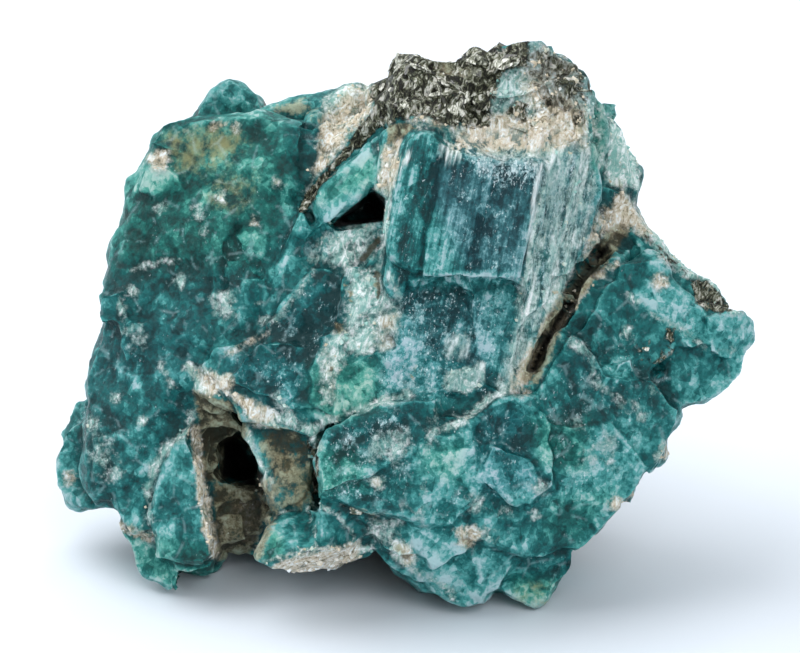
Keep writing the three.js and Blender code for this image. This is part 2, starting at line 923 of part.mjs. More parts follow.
// The back: crystals like those in front, with their flat faces turned away.
function back() {
  return [
    backCrystal(
      [
        [-14, 2], [-12.4, 7.6], [-9, 9.4], [-7, 5], [-9, -1], [-12.6, -3],
      ],
      { level: -10.8, right: 0.2, up: 0.1 },
      -3,
    ),
    backCrystal(
      [
        [-9.8, 9.2], [-5, 10.4], [-1.5, 9.8], [-2, 4], [-6.5, 2.6], [-9, 5],
      ],
      { level: -11.6, right: 0.05, up: 0.25 },
      -3,
    ),
    backCrystal(
      [
        [-2.4, 10.6], [1, 12.4], [6, 12.8], [8, 10.6], [7.6, 5.6], [2.6, 3.4], [-1.6, 5],
      ],
      { level: -10.2, right: 0.1, up: 0.4 },
      -3,
    ),
    backCrystal(
      [
        [-13, -1], [-9.4, 1.4], [-6.4, -2], [-8, -7.4], [-12.6, -8.2], [-15, -6],
      ],
      { level: -11.4, right: -0.2, up: -0.1 },
      -3,
    ),
    backCrystal(
      [
        [-8.4, 4.4], [-2.8, 6], [2.2, 3.6], [2.4, -3], [-3, -6.4], [-8, -3.4],
      ],
      { level: -13.6, right: -0.05, up: 0.05 },
      -3,
    ),
    backCrystal(
      [
        [2, 6.4], [7.4, 7], [10.6, 4.6], [11.6, 0.6], [7.6, -2.4], [2.6, 0],
      ],
      { level: -10.6, right: 0.3, up: 0.15 },
      -3,
    ),
    backCrystal(
      [
        [1.4, 0.6], [6.4, 0.4], [10.2, -3.4], [9, -7.6], [4, -9.8], [0.6, -5],
      ],
      { level: -12.2, right: 0.18, up: -0.05 },
      -3,
    ),
    backCrystal(
      [
        [-8, -3.6], [-1, -3], [6.4, -6], [6, -9.6], [1, -10.8], [-6, -10.7], [-9, -8],
      ],
      { level: -13.2, right: 0.04, up: -0.1 },
      -4,
    ),
  ];
}

// Crystals that lie across the others, at the sides, on top and behind.
function across() {
  return [
    lump([-11.9, 1.2, -6.6], [4, 4.4, 9], [80, 12, 10]),
    lump([-14.4, -5.4, -7.6], [4, 4.4, 5], [30, 50, 20]),
    lump([-9, 8, -7.6], [6, 4.4, 6], [35, 20, 10]),
    lump([-10.8, -9.6, -5.6], [3.6, 3.4, 5.6], [60, 20, -20]),
    lump([3, 10.6, -6.6], [8.4, 4.4, 8], [-30, 12, 10]),
    lump([7.8, 9.4, -6.4], [4.6, 5, 7], [20, 40, 0]),
    lump([9.6, 6.6, -6], [4, 4.6, 7], [-35, 30, 10]),
    lump([12.6, 1.4, -5.4], [4, 4, 7.6], [20, 70, 38]),
    lump([14, -1.2, -3.6], [5, 5, 5], [30, 40, 60]),
    lump([9.6, -5.8, -6.4], [5.6, 5.4, 7], [40, 50, 20]),
    lump([5.2, -9.8, -5.4], [7, 4.4, 8], [-20, 30, 14]),
    lump([-3.4, 1.4, -11.2], [5, 6, 11], [75, 10, 26]),
    lump([6.2, 3.2, -9.2], [4.6, 5, 9.4], [60, -24, -34]),
    lump([-10.2, 3.4, -9.8], [4.4, 5, 9], [96, -14, 18]),
    lump([-0.6, -7.4, -12.4], [9, 5, 6], [30, 24, -12]),
    lump([2.6, -8.8, -10], [8, 5, 6], [-24, 12, 30]),
  ];
}

// What is broken away: the hollow at the lower left, the dark gap under the tilted blade,
// the crevice along the big right-hand crystal, and the open seams and pits.
function hollows() {
  return [
    hull([
      [-10.3, -3, 3], [-8.6, -3.6, 3], [-7.6, -5.2, 3], [-6.4, -8.4, 3],
      [-6.9, -9.8, 3], [-7.2, -12.6, 3], [-8.8, -12.6, 3], [-9.9, -8, 3],
      [-9.6, -4.2, -3], [-7.8, -5.4, -3.4], [-7, -7.4, -3.4], [-7.8, -8.4, -3.4], [-9.2, -8.2, -3],
    ]),
    hull([
      [-9.4, -4.6, -1], [-7.6, -5.2, -1], [-6.9, -7.3, -1], [-9.2, -7.9, -1],
      [-8.4, -5.8, -9], [-7.6, -6, -9], [-7.3, -7.2, -9], [-8.4, -7.4, -9],
    ]),
    hull([
      [-3.5, 5.15, 3], [-1.35, 7.1, 3], [-0.7, 6.6, 3], [-0.75, 5.3, 3], [-1.7, 5.25, 3],
      [-2.4, 5.7, -5], [-1.5, 6.5, -5], [-1.2, 5.8, -5],
    ]),
    hull([
      [-2.1, 3.5, 3.4], [-1.1, 4.6, 3.4], [-0.95, 4.2, 3.4], [-1.2, 3.5, 3.4],
      [-1.6, 3.8, -0.5], [-1.2, 4, -0.5],
    ]),
    hull([
      [-1.4, 3, 4], [-1.05, 3, 4], [-0.9, 1.5, 4], [-1.2, 1.3, 4],
      [-1.2, 2.4, 0.8], [-1.1, 1.7, 0.8],
    ]),
    hull([
      [-3.6, 0.05, 4], [-3, 0.3, 4], [-2.75, 0, 4], [-3.2, -0.25, 4],
      [-3.2, 0, 1], [-3, 0.05, 1],
    ]),
    hull([
      [-3.65, -1.3, 4], [-3.4, -1.3, 4], [-3.35, -2.1, 4], [-3.6, -2.1, 4],
      [-3.5, -1.6, 1.6], [-3.5, -1.9, 1.6],
    ]),
    hull([
      [11, 5, 3], [10.2, 4.9, 3], [8.5, 2.4, 5], [9.3, 1.9, 5], [10.3, 3.3, 4],
      [10.2, 4.2, -5], [9.2, 2.8, -4.4],
    ]),
    hull([
      [9.4, 3.2, 5], [8.7, 2.9, 5], [6.9, -0.3, 5], [7.5, -0.7, 5], [9.2, 1.8, 5],
      [8.9, 2.4, -3.6], [7.5, 0, -2.4],
    ]),
    hull([
      [7.7, 0.6, 5], [7.1, 0.6, 5], [5.6, -2.9, 6], [6.4, -3.05, 6], [7.5, -0.9, 5],
      [7.3, 0, -2], [6.1, -2.4, 0.6],
    ]),
    hull([
      [-4.35, -6, 3.6], [-4.05, -6, 3.6], [-4.1, -8.6, 3.6], [-4.6, -8.6, 3.6],
      [-4.3, -6.4, -1], [-4.4, -8, -1],
    ]),
    hull([
      [-8.6, 5, 3], [-7.9, 5.2, 3], [-7.8, 3.5, 3], [-9.1, 3.2, 3],
      [-8.3, 4.4, -1.2], [-8.2, 3.7, -1.2],
    ]),
    hull([
      [-0.1, 3.2, 6], [1, 2.2, 6], [3.2, 2.25, 6], [3.3, 1.2, 6], [1, 1, 6],
      [0.6, 2.2, 3.1], [2.8, 2, 3.1], [2.8, 1.5, 3.1],
    ]),
    hull([
      [2.9, -10.2, 6], [3.6, -10.1, 6], [3.7, -10.7, 6], [2.9, -10.8, 6],
      [3.2, -10.4, 1.8], [3.4, -10.5, 1.8],
    ]),
    hull([
      [-2.9, -8.5, 6], [-0.6, -9.2, 6], [-1.2, -9.6, 6], [-3.2, -8.9, 6],
      [-2, -9, 1.8], [-1.2, -9.2, 1.8],
    ]),
    hull([
      [5.2, 11.4, 4], [6, 11.5, 4], [6.4, 10.8, 4], [5.4, 10.1, 4],
      [5.8, 11, 1], [5.9, 10.7, 1],
    ]),
  ];
}

// Turns the piece from its display side to its resting position and levels the underside.
function resting(solid) {
  const lean = new THREE.Matrix4().makeRotationX(THREE.MathUtils.degToRad(90 - LEAN));
  lean.premultiply(new THREE.Matrix4().makeTranslation(0, 0, -BASE_LEVEL));
  const leant = solid.transform(lean.elements);
  const reach = 60; // well beyond the piece on every side
  const below = hull([
    [-reach, -reach, -reach], [reach, -reach, -reach],
    [reach, reach, -reach], [-reach, reach, -reach],
    [-reach, -reach, 0], [reach, -reach, 0],
    [reach, reach, 0], [-reach, reach, 0],
  ]);
  const level = leant.subtract(below);
  const { min, max } = level.boundingBox();
  return level.translate([-(min[0] + max[0]) / 2, -(min[1] + max[1]) / 2, 0]);
}

// The solid as a three.js geometry.
function geometryOf(solid) {
  const { vertProperties, triVerts, numProp } = solid.getMesh();
  const places = new Float32Array((vertProperties.length / numProp) * 3);
  for (let i = 0; i < places.length / 3; i += 1) {
    places.set(vertProperties.subarray(i * numProp, i * numProp + 3), i * 3);
  }
  const geometry = new THREE.BufferGeometry();
  geometry.setAttribute("position", new THREE.BufferAttribute(places, 3));
  geometry.setIndex(new THREE.BufferAttribute(triVerts, 1));
  geometry.computeVertexNormals();
  return geometry;
}

const grown = [
  ...masses(),
  ...leftCrystal(),
  ...lowerLeftBlades(),
  ...upperSeam(),
  ...prism(),
  ...rightSlope(),
  ...cap(),
  ...upperRight(),
  ...rightCrystal(),
  ...centre(),
  ...roundTheHollow(),
  ...foot(),
  ...back(),
  ...across(),
].reduce((piece, body) => piece.add(body));
const broken = hollows().reduce((piece, hollow) => piece.subtract(hollow), grown);

// The largest body alone, so that no crumb lies loose and no gap is sealed inside.
const [whole] = broken.decompose().sort((a, b) => b.volume() - a.volume());

const crystalGreen = new THREE.MeshStandardMaterial({ color: 0x1f6f74, roughness: 0.55 });
const specimen = new THREE.Mesh(geometryOf(resting(whole)), crystalGreen);
specimen.name = "grandidierite_cluster";

const part = new THREE.Group();
part.add(specimen);

export default part;
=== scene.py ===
"""A rough piece of grandidierite: blue-green crystals grown together with pale feldspar and
dark mica, leaning back a little on a pale floor."""

import math

import bmesh
import bpy
import numpy as np
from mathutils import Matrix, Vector


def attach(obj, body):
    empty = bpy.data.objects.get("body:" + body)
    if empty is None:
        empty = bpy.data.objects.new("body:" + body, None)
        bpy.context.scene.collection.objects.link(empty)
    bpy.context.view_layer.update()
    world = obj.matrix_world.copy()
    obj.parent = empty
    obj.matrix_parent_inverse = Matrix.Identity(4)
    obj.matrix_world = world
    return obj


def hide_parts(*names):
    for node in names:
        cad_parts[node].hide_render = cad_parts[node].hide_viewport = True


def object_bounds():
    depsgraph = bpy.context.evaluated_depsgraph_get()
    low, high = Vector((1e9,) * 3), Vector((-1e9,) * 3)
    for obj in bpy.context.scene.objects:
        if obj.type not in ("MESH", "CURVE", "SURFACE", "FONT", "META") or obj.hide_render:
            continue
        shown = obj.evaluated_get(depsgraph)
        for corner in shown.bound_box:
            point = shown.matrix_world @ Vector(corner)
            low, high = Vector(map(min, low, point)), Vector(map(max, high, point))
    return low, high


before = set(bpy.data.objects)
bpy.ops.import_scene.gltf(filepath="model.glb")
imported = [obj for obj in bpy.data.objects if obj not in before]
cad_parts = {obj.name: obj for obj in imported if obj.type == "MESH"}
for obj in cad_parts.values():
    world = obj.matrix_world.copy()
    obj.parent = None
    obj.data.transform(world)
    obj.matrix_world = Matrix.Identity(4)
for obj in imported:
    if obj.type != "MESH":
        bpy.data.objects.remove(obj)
cad_box = [list(corner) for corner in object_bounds()]

# Lengths are in millimetres, and times MM where Blender takes them.
MM = 0.001


# The camera.
# It looks straight at the display side, which leans back, from ten times the stone's width
# away, so that the stone looks as flat as in the photograph.

# The display side, as in the part's source: its middle in the row frame, and its own
# directions to the right, up the face and towards the viewer.
LEAN = math.radians(20)
MIDDLE = np.array([-0.101, -3.510, 13.35])
RIGHT = np.array([1.0, 0.0, 0.0])
UP = np.array([0.0, math.sin(LEAN), math.cos(LEAN)])
TOWARDS = np.array([0.0, -math.cos(LEAN), math.sin(LEAN)])

# Where the camera aims, how far off it stands, and how much of the display side it takes in.
AIM_UP = 0.175
AIM_BEHIND = 2.0
AIM = MIDDLE + AIM_UP * UP - AIM_BEHIND * TOWARDS
EYE_DISTANCE = 340.0
EYE = AIM + EYE_DISTANCE * TOWARDS
VIEW_WIDTH = 40.0
SENSOR_WIDTH = 36.0

camera_data = bpy.data.cameras.new("camera")
camera_data.sensor_width = SENSOR_WIDTH
camera_data.lens = SENSOR_WIDTH * EYE_DISTANCE / VIEW_WIDTH
camera_data.clip_start = 0.01
camera_data.clip_end = 20.0
camera = bpy.data.objects.new("camera", camera_data)
camera.location = EYE * MM
camera.rotation_euler = (math.pi / 2 - LEAN, 0.0, 0.0)
bpy.context.scene.collection.objects.link(camera)
bpy.context.scene.camera = camera
bpy.context.scene.view_settings.view_transform = "Standard"


# The lights.
# One large soft light from the upper left, a weaker one from the right in front, one behind,
# and a pale room all round.


def soft_light(name, place, size, strength):
    """A square soft light that shines on the piece, at a place counted from the aim."""
    data = bpy.data.lights.new(name, "AREA")
    data.size = size * MM
    data.energy = strength
    light = bpy.data.objects.new(name, data)
    bpy.context.scene.collection.objects.link(light)
    light.location = Vector((AIM + np.array(place)) * MM)
    direction = Vector(AIM * MM) - light.location
    light.rotation_euler = direction.to_track_quat("-Z", "Y").to_euler()


soft_light("key_light", (-290, 80, 400), 650, 3.4)
soft_light("fill_light", (140, -400, 280), 300, 1.4)
soft_light("back_light", (160, 300, 380), 300, 0.7)

ROOM_COLOUR = (0.93, 0.97, 1.0, 1.0)
ROOM_STRENGTH = 0.54
world = bpy.data.worlds.new("room")
world.use_nodes = True
background = world.node_tree.nodes["Background"]
background.inputs["Color"].default_value = ROOM_COLOUR
background.inputs["Strength"].default_value = ROOM_STRENGTH
bpy.context.scene.world = world


# The floor.
# A wide pale sheet that the stone stands on, part of the stage. A painted shadow makes it a
# little greyer to the right of the stone.


def linear(red, green, blue):
    """A colour picked on screen, from 0 to 255, as the shader takes it."""
    parts = [channel / 255.0 for channel in (red, green, blue)]
    return tuple(p / 12.92 if p < 0.04045 else ((p + 0.055) / 1.055) ** 2.4 for p in parts) + (1.0,)


def feed(tree, node, inputs):
    """Gives a node its inputs, which are numbers, colours or other nodes' outputs."""
    for name, value in inputs.items():
        if isinstance(value, bpy.types.NodeSocket):
            tree.links.new(value, node.inputs[name])
        else:
            node.inputs[name].default_value = value


def wire(tree, kind, inputs, out=0, **settings):
    """A new node of a kind, with its inputs and settings; gives one of its outputs."""
    node = tree.nodes.new("ShaderNode" + kind)
    for name, value in settings.items():
        setattr(node, name, value)
    feed(tree, node, inputs)
    return node.outputs[out]


def new_material(name):
    """A material, its tree of nodes, its shader, and the shaded place in millimetres."""
    material = bpy.data.materials.new(name)
    material.use_nodes = True
    tree = material.node_tree
    place = scaled(tree, wire(tree, "TexCoord", {}, "Object"), 1.0 / MM)
    return material, tree, tree.nodes["Principled BSDF"], place


def scaled(tree, vector, factor):
    """The vector times a number."""
    return wire(tree, "VectorMath", {0: vector, "Scale": factor}, operation="SCALE")


def between(tree, value, low, high):
    """0 at low, 1 at high, and a smooth step between."""
    limits = {"Value": value, "From Min": low, "From Max": high}
    return wire(tree, "MapRange", limits, interpolation_type="SMOOTHSTEP")


def mixed(tree, share, below, above, blend_type="MIX"):
    """The colour below, with the one above laid over it by its share."""
    inputs = {0: share, 6: below, 7: above}
    return wire(tree, "Mix", inputs, 2, data_type="RGBA", blend_type=blend_type)


FLOOR_HALF = 4.0
FLOOR_PALE = linear(222, 229, 238)
# The grey of the painted shadow.
FLOOR_SHADOW_GREY = linear(208, 215, 224)
SHADE_AT = (34.0, -6.0, 0.0)
SHADE_REACH = 56.0

floor_mesh = bpy.data.meshes.new("floor")
floor_corners = [
    (-FLOOR_HALF, -FLOOR_HALF, 0), (FLOOR_HALF, -FLOOR_HALF, 0),
    (FLOOR_HALF, FLOOR_HALF, 0), (-FLOOR_HALF, FLOOR_HALF, 0),
]
floor_mesh.from_pydata(floor_corners, [], [(0, 1, 2, 3)])
floor = bpy.data.objects.new("floor", floor_mesh)
bpy.context.scene.collection.objects.link(floor)


def floor_material():
    """Pale paint with a painted shadow: the grey takes its share by how near the middle of the
    shade is.
    """
    material, tree, shader, place = new_material("pale_floor")
    away = wire(tree, "VectorMath", {0: place, 1: SHADE_AT}, "Value", operation="DISTANCE")
    colour = mixed(tree, between(tree, away, SHADE_REACH, 0.0), FLOOR_PALE, FLOOR_SHADOW_GREY)
    feed(tree, shader, {"Base Color": colour, "Roughness": 0.55})
    return material


floor_mesh.materials.append(floor_material())


# The stone: its shape.
# One lump of crystals, feldspar and mica, broken out of the rock, and the one piece that
# stands for the CAD solid. A copy of the solid is made into a fine even mesh, its flat faces
# are broken into chips and ridges, and the mesh is thinned where it is flat.

NODE = "grandidierite_cluster"
FINE = 0.15
TRIANGLES = 190000
LOW_BITS = 0xFFFFFFFF


def scrambled(cells, salt):
    """A number from 0 to 1 for each whole-number cell in space, which looks random and is
    the same each time: its coordinates times large odd numbers, with the bits stirred."""
    x, y, z = (cells[:, k].astype(np.int64) for k in range(3))
    bits = (x * 73856093) ^ (y * 19349663) ^ (z * 83492791) ^ (salt * 50331653)
    bits &= LOW_BITS
    for _ in range(2):
        bits = ((bits ^ (bits >> 16)) * 0x45D9F3B) & LOW_BITS
    return (bits ^ (bits >> 16)) / LOW_BITS


def eased(value):
    """0 below 0, 1 above 1, and between them three times the square less twice the cube."""
    t = np.clip(value, 0.0, 1.0)
    return t * t * (3.0 - 2.0 * t)


def waves(points, size, salt):
    """Smooth noise from -1 to 1, with hills about `size` apart: random values at the corners
    of a grid of cubes, eased into each other."""
    spot = points / size
    base = np.floor(spot)
    t = eased(spot - base)
    total = np.zeros(len(points))
    for corner in np.ndindex(2, 2, 2):
        weight = np.prod(np.where(np.array(corner) == 1, t, 1.0 - t), axis=1)
        total += weight * (scrambled(base + corner, salt) * 2.0 - 1.0)
    return total


def creased(points, size, salt):
    """Noise from -1 to 1 made of flat pieces that meet in straight creases: random values at
    the corners of a grid of tetrahedra, turned at random, and a plane between them in each."""
    turn = np.linalg.qr(np.random.default_rng(salt).normal(size=(3, 3)))[0]
    spot = points @ turn / size
    base = np.floor(spot)
    rest = spot - base
    order = np.argsort(-rest, axis=1)
    largest = np.take_along_axis(rest, order, 1)
    steps = np.eye(3)[order]
    corner = base
    total = (1.0 - largest[:, 0]) * scrambled(corner, salt)
    for k in range(3):
        corner = corner + steps[:, k]
        weight = largest[:, k] - (largest[:, k + 1] if k < 2 else 0.0)
        total += weight * scrambled(corner, salt)
    return total * 2.0 - 1.0


def shifts(points, size, salt, reach):
    """How far each point is moved by creased noise in three directions, up to `reach`."""
    return reach * np.stack([creased(points, size, salt + k) for k in range(3)], 1)


def numbers_of(items, name, width, kind=float):
    """One property of every item of a mesh, as an array with `width` columns."""
    flat = np.zeros(len(items) * width, kind)
    items.foreach_get(name, flat)
    return flat.reshape(-1, width)


def points_of(mesh):
    """The vertices' places in millimetres."""
    return numbers_of(mesh.vertices, "co", 3) / MM


def normals_of(mesh):
    """The directions that the surface faces at its vertices."""
    return numbers_of(mesh.vertex_normals, "vector", 3)


def edges_of(mesh):
    """The two vertices of each edge."""
    return numbers_of(mesh.edges, "vertices", 2, np.int64)


def move_to(mesh, points):
    """Puts the vertices at new places."""
    mesh.vertices.foreach_set("co", (points * MM).ravel())
    mesh.update()


def through(mesh, kind, **settings):
    """The mesh as one modifier makes it."""
    holder = bpy.data.objects.new("holder", mesh)
    bpy.context.scene.collection.objects.link(holder)
    modifier = holder.modifiers.new("change", kind)
    for name, value in settings.items():
        setattr(modifier, name, value)
    graph = bpy.context.evaluated_depsgraph_get()
    changed = bpy.data.meshes.new_from_object(holder.evaluated_get(graph))
    bpy.data.objects.remove(holder)
    return changed


def averaged(values, edges, times):
    """Each vertex's values, half its own and half its neighbours' mean, a number of times."""
    count = np.bincount(edges.ravel(), minlength=len(values))[:, None]
    for _ in range(times):
        total = np.zeros_like(values)
        for k in range(values.shape[1]):
            a = np.bincount(edges[:, 0], values[edges[:, 1], k], len(values))
            b = np.bincount(edges[:, 1], values[edges[:, 0], k], len(values))
            total[:, k] = a + b
        values = 0.5 * values + 0.5 * total / count
    return values


def seen(points):
    """Where the camera sees points: millimetres to the right and up the display side, and
    how far they stand out of it. The camera's rays are followed onto the plane of its aim."""
    away = EYE - points
    reach = away @ TOWARDS
    right = -(away @ RIGHT) / reach * EYE_DISTANCE
    up = AIM_UP - (away @ UP) / reach * EYE_DISTANCE
    return np.stack([right, up], 1), (points - MIDDLE) @ TOWARDS


# Marks on the display side: a round spot, a line with a width, or an area with an outline, in
# millimetres to the right and up as the camera sees them. A mark takes a share of the
# surface, and fades over its soft edge.


def spot(x, y, radius, share=0.85, soft=0.4):
    """A round mark: all that is nearer to its middle than its radius."""
    return ("line", [(x, y)], radius, share, soft)


def line(width, points, share=1.0, soft=0.3):
    """A mark along a line: all that is nearer to it than half its width."""
    return ("line", points, width / 2, share, soft)


def area(outline, share=1.0, soft=0.6):
    """A mark inside an outline, whose last corner joins the first."""
    return ("area", outline, 0.0, share, soft)


def to_line(spots, line):
    """The distance from each spot to a line: the least of those to its straight pieces."""
    line = np.array(line, float)
    best = np.sqrt(((spots - line[0]) ** 2).sum(1))
    for a, b in zip(line[:-1], line[1:]):
        along = b - a
        t = np.clip(((spots - a) @ along) / (along @ along), 0.0, 1.0)
        gap = spots - (a + t[:, None] * along)
        best = np.minimum(best, np.sqrt((gap**2).sum(1)))
    return best


def to_area(spots, outline):
    """The distance to an outline, below zero inside it. A spot is inside when a line from it
    to the right crosses the outline an odd number of times."""
    edge = to_line(spots, outline + outline[:1])
    inside = np.zeros(len(spots), bool)
    x, y = spots[:, 0], spots[:, 1]
    for (ax, ay), (bx, by) in zip(outline, outline[1:] + outline[:1]):
        if ay != by:
            inside ^= ((ay > y) != (by > y)) & (x < (bx - ax) * (y - ay) / (by - ay) + ax)
    return np.where(inside, -edge, edge)


def marked(spots, marks):
    """The share of the surface that a list of marks takes: the largest of the marks' own
    shares, each whole inside the mark and eased to 0 over its soft edge."""
    field = np.zeros(len(spots))
    for kind, points, radius, share, soft in marks:
        distance = to_line(spots, points) if kind == "line" else to_area(spots, points)
        field = np.maximum(field, share * eased(0.5 + (radius - distance) / (2 * soft)))
    return field


# The prism in the middle stands a little askew: along it, and across it.
ALONG = 0.98 * UP + 0.2 * RIGHT
ACROSS = 0.98 * RIGHT - 0.2 * UP

# The prism's face, the frosted slope on its right, and the mica cap above them.
PRISM = [
    (-0.9, 2.3), (0.9, 2.2), (6.2, 2.4), (6.7, 5.4), (7.3, 8.4), (4, 9), (2, 10), (0, 9.8),
    (-0.2, 8), (-0.7, 5),
]
SLOPE = [
    (6.1, 2.6), (7, 8.2), (8, 9.4), (9.5, 9.3), (9.9, 7), (9.2, 4.2), (8, 1.8), (6.6, -1.2),
    (5.6, -3), (4.8, -3), (5.4, -1),
]
CAP = [
    (-0.6, 11), (-0.2, 13.4), (1, 13.9), (2.4, 13.8), (4, 14.3), (6, 14.8), (8, 14.3),
    (9.8, 11.5), (9.6, 9.4), (5, 8.8), (2.6, 9.4), (1.6, 10.2), (0.2, 10.4),
]

# Grooves between the columns of the prism and in the left-hand crystal, and how deep they are.
GROOVES = [
    line(0.3, [(1.95, 8.5), (1.75, 7), (1.2, 4.9), (0.9, 2.6)], 1.0, 0.15),
    area([(0.85, 8.4), (1.9, 8.5), (1.7, 6.8), (1.2, 5), (0.9, 6.4)], 0.8, 0.2),
    area([(3.9, 5.8), (4.3, 5.6), (3.9, 2.8), (3.1, 2.7)], 0.9, 0.2),
    line(0.25, [(4.3, 5.8), (4.9, 8.3)], 0.6, 0.15),
    line(0.3, [(6.25, 2.6), (6.75, 5), (7.4, 8.6)], 0.8, 0.15),
    line(0.2, [(7.9, 8.6), (7.3, 5.2), (6.5, 1)], 0.6, 0.15),
    line(0.25, [(8.7, 7.6), (8, 4)], 0.6, 0.2),
    line(0.25, [(-8.2, 5.3), (-8.9, 3.4), (-8.9, 2.2)], 0.8, 0.2),
    line(0.2, [(-6.6, 4.6), (-6.9, 2.2), (-7.1, 0.4)], 0.6, 0.2),
    line(0.2, [(-4.9, 6.2), (-6, 3.8), (-6.9, 2.8)], 0.6, 0.2),
    line(0.2, [(-11.4, 2.6), (-13, 1.2), (-14.2, -0.8)], 0.5, 0.2),
    line(0.2, [(-10.8, -0.4), (-9.6, -1.4)], 0.5, 0.2),
]
GROOVE_DEPTH = 0.22

# Holes so deep that no light comes out. They keep their depth, and painted shade makes them black.
SHADED_HOLES = [
    area([
        (-3.6, 5.1), (-2.4, 6.2), (-1.3, 7), (-0.72, 6.6), (-0.8, 5.4), (-1.8, 5.3),
    ], 1.0, 0.12),
    area([
        (-8.8, -5.6), (-8, -5.3), (-7.4, -6.6), (-6.7, -7.3), (-7.2, -7.9), (-8.9, -7.3),
    ], 1.0, 0.3),
    line(0.3, [(10.4, 4.2), (9.2, 2.8), (8.3, 1.2), (7.2, -0.8), (6.6, -2)], 0.9, 0.2),
    line(0.12, [(-4.6, -5.7), (-4.15, -6.4), (-4.35, -8.2)], 0.9, 0.1),
]
VOID_SHARE = 0.4

# A grid over the display side, which holds the depths of the surface.
GRID_HALF = 200
NOWHERE = -99.0


def nearest(spots, near, cell_size):
    """The depths on the grid: how far the nearest point in each cell stands out, and the
    cell of each spot."""
    cell = tuple((np.floor(spots / cell_size).astype(int) + GRID_HALF).T)
    front = np.full((2 * GRID_HALF, 2 * GRID_HALF), NOWHERE)
    np.maximum.at(front, cell, near)
    return front, cell


# A narrow pit on the display side is made this shallow. The photograph shows closed faces
# there, except at the deep holes.
PIT_CELL = 0.2
PIT_REACH = 6
PIT_DEPTH = 0.15
PIT_FRONT = 0.8


def spread(heights):
    """Each cell's largest value within the reach of a pit."""
    best = heights.copy()
    for across, along in np.ndindex(2 * PIT_REACH + 1, 2 * PIT_REACH + 1):
        a, b = across - PIT_REACH, along - PIT_REACH
        if a * a + b * b <= PIT_REACH * PIT_REACH:
            best = np.maximum(best, np.roll(heights, (a, b), (0, 1)))
    return best


def filled_pits(points):
    """Lifts the floors of narrow pits on the display side: the depths are laid on the grid,
    gaps too narrow for a disc are closed, and what lies deeper than that is raised."""
    spots, near = seen(points)
    front, cell = nearest(spots, near, PIT_CELL)
    for shift in (1, -1):
        for axis in (0, 1):
            front = np.where(front == NOWHERE, np.roll(front, shift, axis), front)
    level = -spread(-spread(front))[cell] - PIT_DEPTH
    inner = spread((front == NOWHERE).astype(float))[cell] == 0
    in_pit = inner & (near > front[cell] - PIT_FRONT) & (level > near)
    deep = marked(spots, SHADED_HOLES) > VOID_SHARE
    lift = np.where(in_pit & ~deep, level - near, 0.0)
    return points + lift[:, None] * TOWARDS


def even_mesh():
    """The solid as a fine even mesh, with its points: remeshed twice, with the pits filled in
    between, then drawn back onto the solid where that is close, and smoothed once."""
    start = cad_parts[NODE].data.copy()
    merging = bmesh.new()
    merging.from_mesh(start)
    bmesh.ops.remove_doubles(merging, verts=merging.verts, dist=1e-6)
    merging.to_mesh(start)
    merging.free()
    mesh = through(start, "REMESH", mode="VOXEL", voxel_size=FINE * MM)
    move_to(mesh, filled_pits(points_of(mesh)))
    mesh = through(mesh, "REMESH", mode="VOXEL", voxel_size=FINE * MM)
    solid = bpy.data.objects.new("solid", start)
    bpy.context.scene.collection.objects.link(solid)
    points = points_of(mesh)
    drawn_on = points_of(through(mesh, "SHRINKWRAP", target=solid))
    bpy.data.objects.remove(solid)
    close = np.linalg.norm(drawn_on - points, axis=1) < 2 * FINE
    points[close] = drawn_on[close]
    points = averaged(points, edges_of(mesh), 1)
    move_to(mesh, points)
    return mesh, points


# The chips of the broken surface, in millimetres: how far apart they are and how high. The
# whole surface sinks a little, so that the highest chips stay near the solid.
LARGE_CHIPS = (3.4, 0.24)
SMALL_CHIPS = (1.5, 0.13)
TINY_CHIPS = (0.75, 0.07)
CHIPS_SUNK = 0.1
HIGHER_UNSEEN = 1.2

# The share of their height that the prism and the slope take away, and that the cap adds.
PRISM_SMOOTH = 0.85
SLOPE_SMOOTH = 0.6
CAP_RUGGED = 1.6

# The ridges along the prism: how far apart, how high, and how long for their width.
WIDE_RIDGES = (1.1, 0.1)
NARROW_RIDGES = (0.45, 0.06)
RIDGE_STRETCH = 9.0


def chips(points, kind, salt):
    """Chips of one kind: creased noise of their size times their height."""
    size, height = kind
    return creased(points, size, salt) * height


def relief(points, spots, facing):
    """How far the broken surface stands out at each point: large, small and tiny chips,
    less on the smooth prism and more on the cap and out of sight, with long ridges along the
    prism and grooves between its columns."""
    calm = marked(spots, [area(PRISM)]) * eased(facing * 2)
    sloped = marked(spots, [area(SLOPE)]) * eased(facing * 3)
    rugged = marked(spots, [area(CAP)])
    hidden = eased((0.5 - facing) * 1.4)
    bent = points + shifts(points, 5.0, 11, 1.2)
    height = chips(bent, LARGE_CHIPS, 1) * (1.0 + HIGHER_UNSEEN * hidden)
    height += chips(bent, SMALL_CHIPS, 2) * (1.0 + hidden)
    height += chips(points, TINY_CHIPS, 3)
    height -= CHIPS_SUNK
    height *= 1.0 - PRISM_SMOOTH * calm - SLOPE_SMOOTH * sloped + CAP_RUGGED * rugged
    height -= CHIPS_SUNK * rugged
    long = np.stack([points @ ACROSS, points @ ALONG / RIDGE_STRETCH, points @ TOWARDS], 1)
    kinds = ((WIDE_RIDGES, 17), (NARROW_RIDGES, 18))
    ridges = sum(waves(long, size, salt) * high for (size, high), salt in kinds)
    height += ridges * np.maximum(calm, 0.8 * sloped)
    height -= GROOVE_DEPTH * marked(spots, GROOVES) * eased(facing * 3)
    return height, calm


